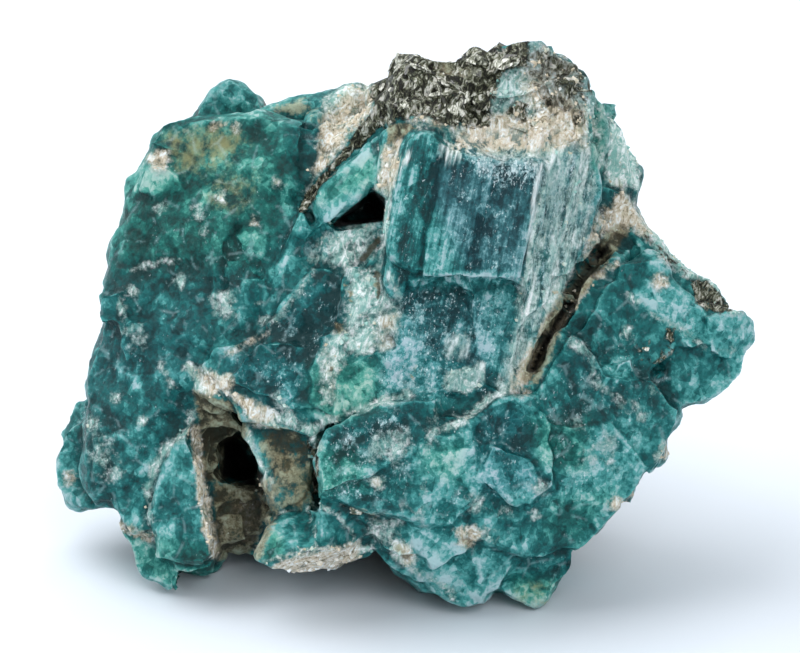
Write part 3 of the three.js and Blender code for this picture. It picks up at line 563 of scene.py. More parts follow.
def shaped_stone():
    """The stone's mesh: each point of the even mesh is moved outwards by the relief and
    sideways by jagged noise, kept within the solid's box, and the mesh is thinned."""
    mesh, points = even_mesh()
    outward = averaged(normals_of(mesh), edges_of(mesh), 2)
    outward /= np.linalg.norm(outward, axis=1)[:, None]
    height, calm = relief(points, seen(points)[0], outward @ TOWARDS)
    jagged = shifts(points, 1.5, 21, 0.2) + shifts(points, 0.6, 27, 0.07)
    points = points + outward * height[:, None] + jagged * (1.0 - 0.8 * calm)[:, None]
    low, high = (np.array(corner) / MM for corner in cad_box)
    move_to(mesh, np.clip(points, low, high))
    faces = sum(len(p.vertices) - 2 for p in mesh.polygons)
    return through(mesh, "DECIMATE", ratio=TRIANGLES / faces)


stone_mesh = shaped_stone()
stone_mesh.name = "rough_stone"
stone = bpy.data.objects.new("rough_stone", stone_mesh)
bpy.context.scene.collection.objects.link(stone)
stone_mesh.shade_smooth()
stone_mesh.set_sharp_from_angle(angle=math.radians(38))

points = points_of(stone_mesh)
edges = edges_of(stone_mesh)
outward = normals_of(stone_mesh)


# The stone: where its minerals lie.
# The crystal, the crust and the mica are one body, so each mineral is a share of the surface,
# kept as the mesh's own value at each vertex. The lists below place the shares on the display
# side as the photograph shows them. A share below 1 leaves a mottled patch.

# Some shares are painted light and shade rather than minerals: lighter and darker crystal, and the
# black of the deep holes.
PALE_CRUST = [
    # The prism's right edge, the band above it and the seams on its left.
    line(0.28, [
        (7.9, 9.4), (7.4, 7.2), (6.6, 4.4), (6.25, 2.5), (5.9, 0.6), (5.6, -1.4),
    ], 0.95, 0.15),
    area([
        (2.4, 8.7), (2.6, 10.4), (4.4, 11), (6.4, 11), (9.6, 10.8), (9.5, 9), (8.4, 8.4),
        (5, 8.6), (3.4, 8.8),
    ], 1.0, 0.9),
    area([(4.2, 10), (4.2, 12.4), (6.4, 15), (8.8, 14.6), (10, 11.2), (9.4, 9.8)], 0.82),
    area([(0, 10.3), (0.6, 11.6), (2, 11.2), (2.6, 10), (1.2, 10)], 0.62),
    area([(2, 10.2), (2.4, 11.6), (3.1, 12.1), (3.3, 10.4)], 0.7),
    area([(-1, 9.2), (0.1, 9.7), (0, 8), (-0.55, 6.6), (-1.3, 7), (-1, 8.2)], 1.0, 0.15),
    line(0.28, [(-0.6, 6.6), (-0.75, 5), (-0.95, 3.4), (-1.1, 2.6)], 1.0, 0.12),
    # The pale centre, and the patch at the top left.
    area([
        (-4.7, 3.3), (-4, 4.6), (-2.5, 5.4), (-1, 5.6), (-0.9, 3.5), (-2, 3.1), (-3.2, 3),
    ], 0.62),
    area([
        (-2.7, 3.1), (-1.3, 3.2), (-0.9, 2), (-0.1, 1.5), (0.1, 0.5), (-0.3, -0.7), (-1.3, -1.3),
        (-2.4, -1.2), (-3.2, -2.2), (-3.3, -3.8), (-3.9, -3.6), (-3.9, -1.5), (-3.6, -0.4),
        (-2.8, 0.2), (-2.6, 1.6),
    ], 0.8, 0.5),
    line(0.3, [(-0.4, 2.7), (-0.1, 1.6)], 0.9),
    line(0.5, [(-10.5, -1.9), (-9.6, -2.2), (-8.8, -2.6)], 0.95),
    area([
        (-4, 9.6), (-3.8, 11.6), (-2.4, 12.6), (-0.8, 12), (-1.6, 10.4), (-3.4, 8.4), (-4.6, 7),
    ], 0.85, 0.5),
    # Round the hollow, and the seam from it to the right.
    line(0.3, [(-7.7, -4.8), (-7.4, -6.2), (-6.7, -7.1)], 0.8, 0.2),
    area([
        (-10.5, -2), (-8.4, -2.2), (-8.2, -2.8), (-9, -3.1), (-9.6, -3.4), (-10.3, -3.1),
    ], 0.95, 0.2),
    line(0.45, [
        (-9, -2.9), (-7.7, -3.6), (-6.4, -4.2), (-5.4, -4.7), (-4.6, -5), (-4.1, -5.8),
    ], 0.95),
    area([(-7.9, -3.8), (-6.6, -4), (-6, -4.9), (-7, -5), (-7.7, -4.5)], 0.95, 0.2),
    line(0.55, [(-6.2, -3.4), (-5.2, -4.6), (-4.3, -5)], 0.75),
    line(0.4, [(-4.3, -4.9), (-3.2, -4.4), (-2, -3.9), (-0.6, -3.5), (0.4, -3.2)], 0.8),
    line(0.2, [(-8.6, -1.2), (-7.6, -0.6), (-6.6, -0.1)], 0.85),
    line(0.2, [(-6.6, 0.1), (-5.4, 1.4), (-4.4, 2.9), (-4, 3.8)], 0.7),
    line(0.45, [(-10.4, -4.2), (-10.6, -5), (-11.6, -5.9), (-12.2, -6.8)], 0.72, 0.3),
    line(0.35, [(-12.3, -6.8), (-12.6, -8), (-12.5, -9.6)], 0.7, 0.3),
    line(0.6, [(-10.2, -5), (-10, -6.6), (-9.8, -8.4), (-9.5, -10), (-9.2, -11.2)], 0.95, 0.2),
    line(0.5, [(-15.6, -9.2), (-14.4, -9.6), (-13.4, -10.2), (-12.4, -10.3)], 0.66),
    area([(-7.2, -7.4), (-6.2, -7.3), (-6.2, -8.9), (-7.2, -8.6)], 0.9, 0.2),
    area([(-9, -7.8), (-7.2, -7.8), (-6.2, -9.3), (-7, -11.1), (-9, -11)], 0.5, 0.3),
    # The edges of the small crystal in front, the rock under it, and the bottom.
    line(0.16, [
        (-6.8, -10), (-6.1, -9.2), (-5, -8.85), (-4.1, -8.75), (-3.2, -9.2), (-2, -10.6),
    ], 0.7, 0.12),
    line(0.16, [
        (-6.9, -11.6), (-5.8, -11.3), (-5, -11), (-3.2, -10.9), (-2.1, -10.7),
    ], 0.9, 0.12),
    line(0.14, [(-4.7, -8.9), (-4.3, -9.8), (-4.2, -10.9)], 0.65, 0.1),
    area([
        (-6.6, -11.9), (-5, -11.15), (-2.2, -10.8), (-1.2, -10.8), (-2.6, -11.9), (-4.4, -12.5),
    ], 1.0, 0.12),
    area([(-0.4, -10.6), (0.6, -10.8), (0.9, -11.5), (0.2, -11.8), (-0.4, -11.3)], 0.95, 0.2),
    line(0.3, [(0.7, -11.9), (1.7, -12.6), (2.7, -13.3)], 0.7),
    area([(-1.9, -9), (0.4, -9.6), (-0.2, -10.8), (-1.4, -10.6)], 0.55),
    area([(2.7, -9.9), (3.9, -9.6), (4.1, -10.4), (3.4, -11), (2.8, -10.7)], 0.85, 0.2),
    area([(4.1, -9.8), (5.2, -10), (4.8, -10.8), (3.9, -10.5)], 0.55, 0.2),
    # Below the prism, at the cap's right and along the crevice.
    line(0.35, [
        (1.5, -5.1), (2.6, -4.8), (3.6, -4.2), (4.3, -3.5), (5.2, -3.1), (6.3, -3.1),
    ], 0.85),
    area([(1.2, -4.6), (2, -3.9), (1.8, -5.4), (1.2, -5.9)], 0.55),
    area([(-1.5, -5.2), (0.4, -5.1), (0.8, -6.2), (-0.4, -7), (-1.5, -6.6)], 0.6),
    spot(-1.1, -7.6, 0.4, 0.9), spot(1.2, -7.9, 0.3, 0.8),
    area([(-0.4, -8.8), (1.2, -8.8), (1.2, -9.8), (0.6, -9.2)], 0.45),
    area([
        (9.2, 4.6), (10.4, 6.2), (11.2, 7.2), (12, 6), (12.4, 5), (11.2, 4.8), (10.2, 4.9),
        (9.4, 3.6),
    ], 0.95),
    area([(10.3, 7.2), (10.4, 10.6), (11.8, 9.6), (12.2, 7)], 1.0, 0.4),
    area([(9.2, 8), (10.3, 8), (10.3, 11.2), (9.4, 12.4)], 0.42, 0.4),
    area([
        (6, 0.4), (7, -0.4), (7.4, 0.4), (8.6, 2.6), (9, 4.4), (8.2, 3.4), (7.2, 1.4), (6, -1.6),
        (5.2, -2.9), (6.2, -3), (7, -1.2),
    ], 0.8, 0.3),
    line(0.35, [(6.3, -2.6), (7.6, -0.2), (8.7, 1.2), (9.6, 2.6), (10.8, 3.3)], 0.9, 0.15),
    line(0.5, [(9.2, 9.4), (9.2, 10.4), (9.5, 11.6)], 0.8),
    # The right-hand crystal and its rim.
    line(0.9, [(12, 5.3), (13.6, 3.7), (15, 2.7), (16.7, 1.2)], 0.95),
    line(0.25, [(11.4, 1.8), (12.3, 1.1), (13.4, 0.4), (14.4, -0.2), (15.2, -0.9)], 0.6),
    spot(13.1, 2.4, 0.4, 0.8),
    line(0.5, [(8.5, -0.5), (9.6, -1.4), (9.8, -2.7), (11.2, -3.6), (12, -4.3)], 0.62, 0.4),
    area([
        (2, -2.8), (2.3, -2.2), (3.3, -1.8), (4.2, -1.6), (4.3, -2.6), (3.4, -3.2), (2.2, -3),
    ], 0.9, 0.15),
    area([(2.2, -0.6), (3.2, 0.2), (3.6, -0.8), (3, -1.7), (2.2, -1.4)], 0.6, 0.3),
    # The frosted slope beside the prism.
    area(SLOPE, 0.6, 0.5),
    line(0.3, [(6.2, 2.4), (6.6, 4.6), (7.1, 6.8), (7.5, 8.4)], 0.8, 0.2),
    line(0.3, [(8, 8.4), (7.6, 6)], 0.6, 0.2),
    # Small flecks.
    spot(3.5, 9.2, 0.4, 1.0), spot(0.3, 8.6, 0.35, 0.62), spot(-12, 8.5, 0.6, 0.72),
    spot(-10.1, 5.8, 0.32), spot(-9.8, 4.8, 0.22), spot(-8.9, 6.7, 0.3), spot(-7.3, 5.4, 0.2),
    spot(-6.2, 7.3, 0.3, 0.9), spot(-12, 6.2, 0.3, 0.6), spot(-13.4, 2, 0.3, 0.9),
    line(0.25, [(-13.4, 3), (-12.2, 3.4), (-11.2, 3.5)], 0.75),
    spot(-11, 2.4, 0.25),
    area([(-9.7, 1.6), (-8.2, 1.9), (-8.2, 0.6), (-9.3, 0.8)], 0.55),
    spot(-7.1, 1.3, 0.12), spot(-6.8, 0.5, 0.2),
    line(0.25, [(-14.1, 1.6), (-13.8, 0.6)], 0.8),
    area([(-14.2, 0.3), (-12.8, 0.4), (-12.5, -0.8), (-13.6, -0.9)], 0.55),
    line(0.3, [(-11.9, -1.8), (-11.4, -2.8)], 0.8),
    spot(-15.4, -4.7, 0.28), spot(-14.8, -6.6, 0.3), spot(-14.2, -3.4, 0.22),
    spot(-12.9, -4.6, 0.2), spot(-16.6, -7.4, 0.3, 0.9),
    area([(-15.8, -5), (-14.4, -5.4), (-13.6, -7.4), (-14.6, -7.8), (-15.6, -7)], 0.42),
    spot(-8.2, 10.2, 0.3, 0.7),
    line(0.3, [(-9.4, 10.2), (-8.6, 10.4)], 0.8),
    spot(3.8, -8.7, 0.5, 0.66), spot(5.3, -9.1, 0.35, 0.7), spot(6.8, -9.2, 0.25),
    spot(7, -7.9, 0.3, 0.9), spot(10.8, -8.8, 0.4, 0.72), spot(13.2, -6.2, 0.5, 0.9),
    spot(11.3, -0.1, 0.3, 0.7), spot(8.8, -4.8, 0.3, 0.62),
    area([(9, -5.2), (10.8, -5.2), (10.8, -7), (9, -6.8)], 0.46),
    spot(12.6, -3, 0.3, 0.6), spot(16.3, -1, 0.4, 0.4),
]

# How warm the crust is: cream and peach, and not white or mint.
WARM = [
    area([(-1, 9.2), (0.6, 10.4), (0.4, 9), (-0.5, 6.6), (-1.3, 7)], 0.8),
    area([(2.2, 8.8), (3.4, 11), (9.4, 11), (9.4, 9), (6, 8.8)], 0.75),
    area([(0, 10.2), (0.8, 11.8), (3.2, 12), (3, 9.8)], 0.7),
    area([(6.2, 10), (6, 14), (8.8, 14), (9.6, 10)], 0.8, 0.9),
    area([(-10.6, -1.8), (-8.2, -2.2), (-6, -4.2), (-7, -5.2), (-9.6, -3.6)], 0.75),
    area([(9, 3), (9.6, 6), (11, 7.4), (12.6, 5), (11, 3)], 0.85, 0.6),
    line(1.3, [(6, -2.8), (7.8, 0.4), (9.6, 3)], 0.75),
    line(0.9, [(-10.2, -5), (-9.8, -8.4), (-9.2, -11.2)], 0.8),
    line(0.8, [(-15.6, -9.2), (-13.4, -10.2), (-12.4, -10.3)], 1.0),
    area([(-6.8, -11.6), (-2, -10.6), (-2, -12), (-4.4, -12.9), (-7, -12.4)], 1.0),
    area([(-0.6, -10.4), (1, -10.8), (0.4, -12)], 0.7),
    area([(2.6, -9.6), (4.1, -9.4), (4, -11.2), (2.6, -11)], 0.8),
    area([(-1.2, 1.4), (0, 1.2), (-0.2, -0.8), (-1.6, -1.2)], 0.6),
    area([(-3.8, -1), (-3.1, -1), (-3.1, -3.6), (-3.8, -3.6)], 0.5),
    area([(-9, -7.8), (-6.2, -7.6), (-6.4, -11), (-9, -11)], 0.6),
    spot(-12, 8.6, 0.7, 0.8), spot(-7.3, 5.4, 0.3), spot(-8.9, 10.3, 0.8), spot(-16.6, -7.4, 0.5),
    spot(13.1, 2.4, 0.5), spot(10.8, -8.8, 0.6), spot(-6.2, 7.3, 0.4, 0.6),
    spot(-9, 6.7, 0.4, 0.5), spot(13.2, -6.2, 0.5, 0.5), spot(-1.1, -7.6, 0.4, 0.6),
    line(0.5, [(-8.6, -1.2), (-7.6, -0.6), (-6.6, -0.1)], 0.8),
    area([(-5, 10), (-2, 12.4), (-0.8, 11.6), (-3, 8.6), (-4.6, 7)], 0.75, 0.6),
]

DARK_MICA = [
    # The cap, and the seam that runs down from it to the left.
    area([
        (-1.3, 10.4), (-1.4, 13), (-0.2, 14.8), (2.6, 15), (6.6, 15.8), (6.4, 13.2), (5, 12.8),
        (4.6, 11.4), (4.4, 10.2), (2.4, 10.3), (1, 10.8), (0, 10.4),
    ], 1.0, 0.4),
    area([(0.6, 11.4), (2.2, 11.2), (3.4, 10), (4.6, 10.4), (4.8, 12), (1.4, 12.4)], 0.6, 0.5),
    area([(7.6, 13.4), (8.8, 12.9), (9.6, 11.6), (8.4, 11.4), (7.6, 12.2)], 0.6, 0.4),
    area([(6.2, 12.6), (6, 15), (8.4, 14.6), (10, 12), (9, 10.6), (7.4, 11)], 0.42, 0.4),
    line(0.75, [(-0.3, 11.3), (-1.4, 10.3), (-2.2, 9.4)], 1.0, 0.2),
    line(0.45, [(-2.2, 9.4), (-3, 8.5), (-4.1, 7.3), (-4.9, 6)], 0.85, 0.2),
    # Flakes on the cap, the right-hand rim and the crystals.
    spot(-0.9, 11.8, 0.5), spot(5.9, 10.9, 0.5, 0.9), spot(8.4, 12.4, 0.5, 0.72),
    spot(8.9, 10.5, 0.25, 0.9), spot(7.3, 11.4, 0.4, 0.6),
    area([(14.4, 2.6), (15, 2.8), (16.9, 1.1), (16, 0.7), (14.8, 1.3)], 0.72, 0.25),
    line(0.3, [(12.2, 4.7), (14.2, 2.9)], 0.7),
    spot(13.5, -0.3, 0.4, 0.7),
    area([(11.5, -0.4), (13.2, 0.1), (14, -1), (13, -2.2), (11.6, -1.8)], 0.42),
    line(0.2, [(-4.7, -5.6), (-4.15, -6.4), (-4.35, -8.4)], 0.9, 0.12),
    line(0.3, [(-2.9, -8.8), (-1, -9.5)], 0.6),
]

# Brown dirt in the hollow and the crevice, and in pits.
BROWN = [
    # The hollow.
    area([
        (-10.3, -3), (-8.4, -3.6), (-7.6, -5), (-8.6, -7.6), (-9.8, -7.6), (-10, -5),
    ], 1.0, 0.4),
    area([(-9.4, -7.6), (-6.4, -7.4), (-6, -9.2), (-7, -11.6), (-9.2, -11.6)], 0.8, 0.4),
    area([
        (-7.2, -4.6), (-5, -5), (-4.2, -6.3), (-4.5, -8.9), (-6.2, -8.9), (-6.5, -7.4),
        (-7.1, -5.8),
    ], 0.62, 0.3),
    # The crevice.
    line(1.0, [(11, 4.9), (9.8, 3.4), (8.7, 1.9), (7.6, 0.1), (6.5, -2.3)], 0.85, 0.5),
    # Pits and stains.
    line(0.35, [(-1.9, 3.5), (-1.1, 4.5)], 1.0, 0.15),
    line(0.22, [(-1.25, 3), (-1, 1.4)], 1.0, 0.1),
    line(0.2, [(-2.8, 2.4), (-2.4, 1.9), (-2.5, 1.3)], 0.9, 0.1),
    spot(-3, 0.1, 0.3),
    line(0.16, [(-3.5, -1.3), (-3.4, -2)], 1.0, 0.1),
    spot(-1.3, 0.8, 0.15), spot(-0.8, 0.1, 0.18, 0.8),
    line(0.18, [(0.7, -1.6), (0.7, -2.4)], 0.8, 0.12),
    area([(-0.7, 9.1), (-0.6, 10.2), (0.3, 10.5), (0.8, 10.1), (0.1, 9.6)], 0.85, 0.2),
    area([(-6.6, 11.2), (-5, 11.6), (-3.8, 11.4), (-4.4, 10.6), (-6, 10.7)], 0.6),
    spot(3.3, -10.5, 0.3), spot(0.3, -11.2, 0.2, 0.9), spot(-0.1, -10.9, 0.12),
    area([(-7, -9.2), (-6.4, -9), (-6.6, -10.2), (-7, -10.4)], 0.8, 0.2),
    spot(2.3, 13, 0.4, 0.6), spot(3.2, 12.8, 0.4, 0.6), spot(9.1, 10.1, 0.2, 0.9),
    line(0.35, [(-2.2, -8.9), (-1.2, -9.4)], 0.6),
]

# Yellowish stains.
OLIVE = [
    area([
        (-11.6, 9.6), (-10, 10.2), (-8, 10.3), (-7.7, 9.4), (-8.6, 8.4), (-10.2, 7.9),
        (-11.4, 8.2),
    ], 0.6, 0.8),
    area([(3.8, 13), (6.3, 13.4), (6.4, 14.4), (4, 14.2)], 0.8),
    area([(-10, 7.5), (-7, 8), (-7.6, 6), (-9.4, 6)], 0.35),
    area([(-6, -6.4), (-4.4, -6.8), (-4.4, -8.8), (-5, -8.8)], 0.7),
    area([(-9, -8), (-7, -8), (-7.4, -10.6), (-9, -10.4)], 0.7),
    area([(5.8, -12.8), (7.4, -12.6), (7.3, -13.8), (6, -13.8)], 0.5),
    spot(2.2, 11.9, 0.4, 0.7),
]

# Lighter crystal and darker crystal, partly the crystal's own tone and partly painted light and
# shade: lighter on faces turned down from the lamps, as at the bottom, and on the prism's lower
# lip, and darker in the shadow under that lip. Crystal with more blue, and with more green.
LIGHTER_AND_PAINTED_LIGHT = [
    area([
        (-6.6, -10.6), (-5.9, -9.3), (-4.6, -9), (-3.2, -9.5), (-2.4, -10.6), (-4.2, -10.9),
    ], 0.8, 0.3),
    area([(0, 1.6), (5, 2), (4.4, -2.4), (1.6, -3.6), (-1.4, -3)], 0.6, 0.6),
    area([
        (1, -6.4), (6.4, -5.4), (12, -3.4), (12.4, -6.8), (9.6, -10), (5, -11), (1, -10),
    ], 0.5, 0.8),
    area([(-13.3, 8), (-11.4, 8.3), (-11, 7.4), (-11.5, 6.8), (-13.4, 6.9)], 1.0, 0.25),
    area([
        (-4.6, 6), (-4.3, 4.6), (-2.4, 6), (-1.2, 7.4), (-0.9, 8.8), (-1.6, 9.3), (-3.4, 7.5),
    ], 0.75, 0.2),
    area([(-0.9, 2.6), (1.2, 2.2), (1, 5), (1.4, 6.6), (0.9, 8), (0, 8), (-0.6, 5.4)], 0.15),
    area([(1.2, 5.8), (3, 5.8), (2.6, 2.6), (1, 2.6)], 0.5),
    area([(3.4, 2.2), (6, 2.4), (5.6, 0.4), (4.6, -0.4), (3.6, 0)], 0.75),
    area([(1, 2.9), (6.2, 2.9), (6.2, 2.3), (1, 2)], 0.8, 0.2),
    area([(11.4, 1.7), (13.2, 2.5), (15.3, 0.8), (15.4, -0.9), (13.4, 0.3)], 1.0, 0.3),
    area([(15, 0.8), (17.8, 0.8), (17.8, -1.4), (16, -3), (14, -3.8), (14.6, -1.4)], 0.6),
    area([(10.3, -2), (10.8, -1.2), (11.7, -1.2), (11.7, -2), (11, -2.7)], 1.0, 0.12),
    area([(9.4, 8), (10.4, 8), (10.4, 11), (9.6, 12.2)], 0.6),
    area([
        (0.4, -9.8), (3, -9.8), (5.6, -11.4), (7.4, -13.6), (4, -13.9), (0.6, -11.6),
    ], 1.0, 0.8),
    area([(4, -5.9), (6.2, -6.2), (7.2, -8), (5.4, -8.4), (4.2, -7.4)], 0.5, 0.3),
    area([(-3.4, -1.4), (-1.2, -1.6), (-1.4, -3.6), (-3.2, -4.6)], 0.7, 0.9),
    area([(-4.1, -7), (-1.4, -6.9), (-1.6, -8), (-4, -8.3)], 0.6),
    area([(-17.4, -8.4), (-16, -8.8), (-16.2, -4.8), (-17.4, -6)], 0.6),
    area([(-13.8, -10.4), (-12, -10.6), (-11, -13), (-12.4, -12.4)], 0.9),
    area([(-10.2, -0.6), (-8, -0.4), (-8.2, -1.6), (-10, -2)], 0.7),
    area([(-12.4, -6.6), (-10.4, -5.2), (-10, -7), (-12, -7.4)], 0.6),
    area([(-10, 10.6), (-9, 12.4), (-7.4, 12.2), (-7, 11)], 0.55),
    line(0.3, [(-6.6, 0.6), (-6.2, 2.6), (-5.4, 4.2)], 0.8, 0.15),
    line(0.5, [(-7.6, -5.2), (-7.3, -6.4), (-6.7, -7)], 1.0, 0.15),
    area([(-6.2, -7.6), (-4.6, -7.6), (-4.6, -8.8), (-6.2, -8.9)], 0.5),
    area([(-13.6, -2.2), (-13, -2.2), (-12.9, -3), (-13.6, -3)], 0.9, 0.15),
    area([(12.3, -5), (14, -4.2), (12, -7.6), (10.6, -9), (10.6, -8)], 0.35, 0.6),
    area([(6.8, -4.6), (8.2, -5), (8.4, -6.6), (7, -6.6)], 0.45),
]
# Darker crystal, partly painted shade, as in the shadow under the prism's lower lip.
DARKER_AND_PAINTED_SHADE = [
    area([(-0.6, 5.4), (-0.6, 2.6), (0.9, 2.6), (1.2, 5), (0.4, 6)], 0.35),
    area([(-14.4, 7), (-11, 8), (-6, 7), (-6.4, 2), (-10, 1), (-15, 1.6)], 0.35, 1.2),
    area([(-15.4, 1), (-9.6, 1), (-9, -1.4), (-11, -4.4), (-13, -8), (-17, -8.6)], 0.5, 1.0),
    area([(-14, 6.4), (-9.6, 6.4), (-9.6, 2.6), (-13, 3.4), (-14.4, 3)], 0.5, 0.8),
    area([(-8.9, 5.6), (-7.8, 5.4), (-7.8, 3.5), (-9, 3.2)], 0.9, 0.4),
    area([
        (-6.7, 0.3), (-5.2, 1.8), (-4.2, 3), (-3, 2.7), (-2.8, 1), (-3.2, 0), (-4, -0.6),
        (-4.6, -2), (-5.8, -1.2),
    ], 0.95, 0.2),
    area([(0.8, 8.3), (1.9, 8.3), (1.6, 6.8), (1.1, 4.9), (0.8, 6.4)], 1.0, 0.15),
    line(0.2, [(1.9, 8.4), (1.7, 7), (1.15, 4.9), (0.95, 2.8)], 1.0, 0.12),
    line(0.18, [(4.2, 5.8), (3.5, 2.8)], 1.0, 0.12),
    area([(2.5, 2.9), (3.9, 2.9), (4.3, 6), (3.6, 5.4)], 0.75, 0.25),
    area([(3.8, 2.9), (6, 2.9), (6.8, 8.2), (5, 8.2)], 0.6, 0.3),
    area([(1.8, 6.4), (4, 6.6), (4.1, 8.4), (1.9, 8.5)], 0.5, 0.3),
    area([(0.2, 2), (3.3, 2), (3.4, 0.6), (1.8, -0.4), (0.2, 0.4)], 0.8, 0.3),
    area([(3.1, 2.1), (3.3, 0.8), (2.2, 1.4), (1.8, 2.1)], 1.0, 0.2),
    area([
        (-3.5, -5), (-2, -4.2), (0.6, -3.6), (1, -4.6), (-0.4, -5.2), (-2, -5.6), (-3.4, -7),
    ], 1.0, 0.2),
    area([(1.8, -4.1), (3.2, -4), (3.4, -4.4), (2.2, -5)], 0.8, 0.2),
    line(0.6, [(5.8, -5.7), (6.8, -6.8), (7.6, -8)], 1.0, 0.2),
    area([
        (10, 1.8), (12, 3.6), (12.4, 2.2), (11.4, 1.6), (12.6, 0.4), (9, -0.6), (8.8, 0.2),
    ], 0.6),
    area([(9.4, -3.4), (11.4, -4.2), (11, -5), (9.4, -4.8)], 0.8, 0.3),
    area([(4.4, -8.4), (6.4, -8.8), (9.4, -8.6), (9, -10.6), (6, -10.4), (5, -9.4)], 0.5),
    area([
        (-6.8, -10.8), (-5.9, -9.1), (-4.6, -8.9), (-3.2, -9.4), (-2.2, -10.6), (-4.2, -11),
    ], 0.3, 0.2),
    area([(-12, -11.2), (-9.2, -11.2), (-9.2, -11.8), (-12, -11.8)], 0.8, 0.2),
    area([(-12, -7.6), (-10.2, -7.2), (-10.2, -8.6), (-11.8, -9)], 0.45, 0.3),
    area([(4.4, -12), (8, -11), (8.2, -12.4), (6, -12.4)], 0.4),
    area([(-6, 10), (-4.6, 10.2), (-4, 8.2), (-4.6, 6), (-6, 7)], 0.55, 0.6),
]
BLUE = [
    area([(3.4, 2.8), (6.2, 2.8), (7, 8.6), (1.9, 8.6), (1.6, 6.6)], 0.9),
    area([(7, 8), (8.4, 8.6), (8.2, 5.4), (7.4, 4.4), (6.8, 5)], 0.8),
    area([(9.1, 7.4), (9.9, 6.8), (9.7, 4.8), (8.9, 3.8)], 0.7),
    area([(-0.4, 2), (4.6, 1.8), (4.6, -3.2), (0, -3.6), (-1.4, -2)], 0.75, 0.8),
    area([(4, -3.8), (6.2, -4), (7.4, -8), (4.4, -8.2), (3.6, -6)], 0.85, 0.6),
    area([(-15.4, 0), (-10, 1.2), (-10.4, -2.4), (-15.6, -3)], 0.4, 0.8),
    area([(-8.8, -1.2), (-4.4, -1), (-4.6, -3.8), (-6.6, -3.6), (-8.6, -2.4)], 0.75),
    area([(-6.6, 0.2), (-4.2, 2.8), (-3, 2.6), (-3, 0.2), (-4.6, -1.6)], 0.6),
    area([(4.4, 10.8), (4.6, 12.8), (6.4, 12.9), (6.2, 10.8)], 0.8),
    area([(6.2, 12.6), (6, 15), (8.4, 14.6), (10, 11.4), (9.2, 11)], 1.0, 0.5),
    area([(8.6, -0.6), (9.8, -1.4), (10, -2.8), (12, -4.2), (12.2, -4.6), (9.4, -3)], 0.7),
    area([(-3.8, -5), (0.6, -3.6), (1.6, -6), (-1.4, -6.6)], 0.4),
    area([(3.4, 2.2), (6, 2.2), (5.4, -2.6), (4, -0.8)], 0.45),
]
GREEN = [
    area([(-14, 7), (-12, 10.2), (-6, 11), (-5, 7), (-7, 3), (-14.6, 3)], 0.65, 1.2),
    area([(9.3, 8), (10.4, 8), (10.3, 11.4), (9.4, 12.4)], 0.8),
    area([(-4.6, -1.6), (-1, -1.4), (-1.2, -4), (-3.6, -4.8), (-4.8, -3.6)], 0.7),
    area([(-4.1, -6), (-2.2, -5.4), (-1.6, -8), (-4.1, -8.3)], 0.6),
    area([(6.4, -4.4), (9.4, -4.4), (9.2, -7), (6.8, -6.8)], 0.55),
    area([(1, -5.8), (3.2, -5.6), (3, -7.6), (1, -7)], 0.5),
    area([(7.6, -8.4), (10.8, -8), (9, -10.8), (7, -10.4)], 0.4),
    area([(5.6, -12.4), (8, -12.4), (7.2, -13.8), (5.8, -13.8)], 0.8),
    area([(-6.9, -11.6), (-6.4, -9.8), (-5.8, -10.6), (-5.9, -11.4)], 0.8, 0.2),
    area([(-13.9, -10), (-9, -10.8), (-9, -12.4), (-11, -13.1), (-13.4, -11.8)], 0.5),
    area([(-4.6, 6), (-1.2, 7.4), (-0.9, 9), (-3.4, 7.5)], 0.7),
]

# Long fine ridges along the prism.
FIBRE = [
    area(PRISM, 1.0, 0.2),
    area(SLOPE, 0.6, 0.4),
    area([(0.2, 2.2), (5.8, 2.4), (5.2, -2.8), (2.8, -1.4), (0.6, -1)], 0.7, 0.4),
    area([(7.2, 8.4), (2.8, 8.9), (3, 9.8), (8, 10)], 0.6, 0.4),
]

# Where the crystal is sugary, with many white specks: white grains and painted glints.
SUGAR = [
    area([(6.2, 12.6), (6, 15), (8.4, 14.6), (10, 11.4), (9.2, 11)], 1.0, 0.5),
    area([(-15, 0), (-11, 1.5), (-10.4, -5), (-13, -8), (-16.5, -7)], 0.15, 1.0),
    area([(-12, 6), (-6, 7.6), (-6.4, 2), (-10, 1.6), (-13, 3)], 0.15, 1.0),
    area([(-0.2, 2.1), (5.2, 2.2), (5.2, -2.6), (2.6, -3.6), (-1.6, -3.4)], 0.5, 0.6),
    area([(2.2, 9), (8.2, 9.4), (7.9, 6.2), (6.2, 7.2), (4.2, 7.2)], 1.0, 0.8),
    area([(2, 8.6), (6.4, 8.4), (6.1, 2.8), (3.2, 2.8)], 0.4, 0.4),
    area([(-0.6, 7.8), (1, 9.8), (2.2, 9), (1.2, 5), (0.6, 2.6), (-0.6, 3)], 0.3, 0.4),
    area(SLOPE, 0.85, 0.5),
    area([(-6.6, 0.2), (-4.2, 2.8), (-3, 2.6), (-3, -0.2), (-5, -2.4)], 0.3, 0.4),
    area([(-8.4, -1.4), (-4.6, -1.2), (-4.8, -3.8), (-8.2, -2.8)], 0.35, 0.4),
    area([(-4, -5), (-0.4, -3.8), (1.6, -6), (-0.4, -9), (-4, -8.4)], 0.5, 0.6),
    area([(1, -4.4), (6, -3.4), (7, -9), (2, -10)], 0.35, 0.8),
    area([(6.4, -3), (11, 0), (14, -2), (11, -8), (7, -9)], 0.3, 0.8),
    area([(4, 10), (4.8, 12.8), (9, 12.6), (9.4, 9.6)], 0.6, 0.5),
    area([(11.4, 1.7), (13.2, 2.5), (15.4, 0.8), (13.6, -1)], 0.2, 0.4),
]

# The marks show where the surface is turned towards the camera, or lies right behind its
# nearest point, and they fade further back.
SIGHT_CELL = 0.3
SIGHT_DEPTH, DEPTH_FADE = 6.0, 3.0
TURNED_FROM, TURNED_FADE = -0.35, 0.3
SKIN_DEPTH, SKIN_FADE = 1.2, 0.5


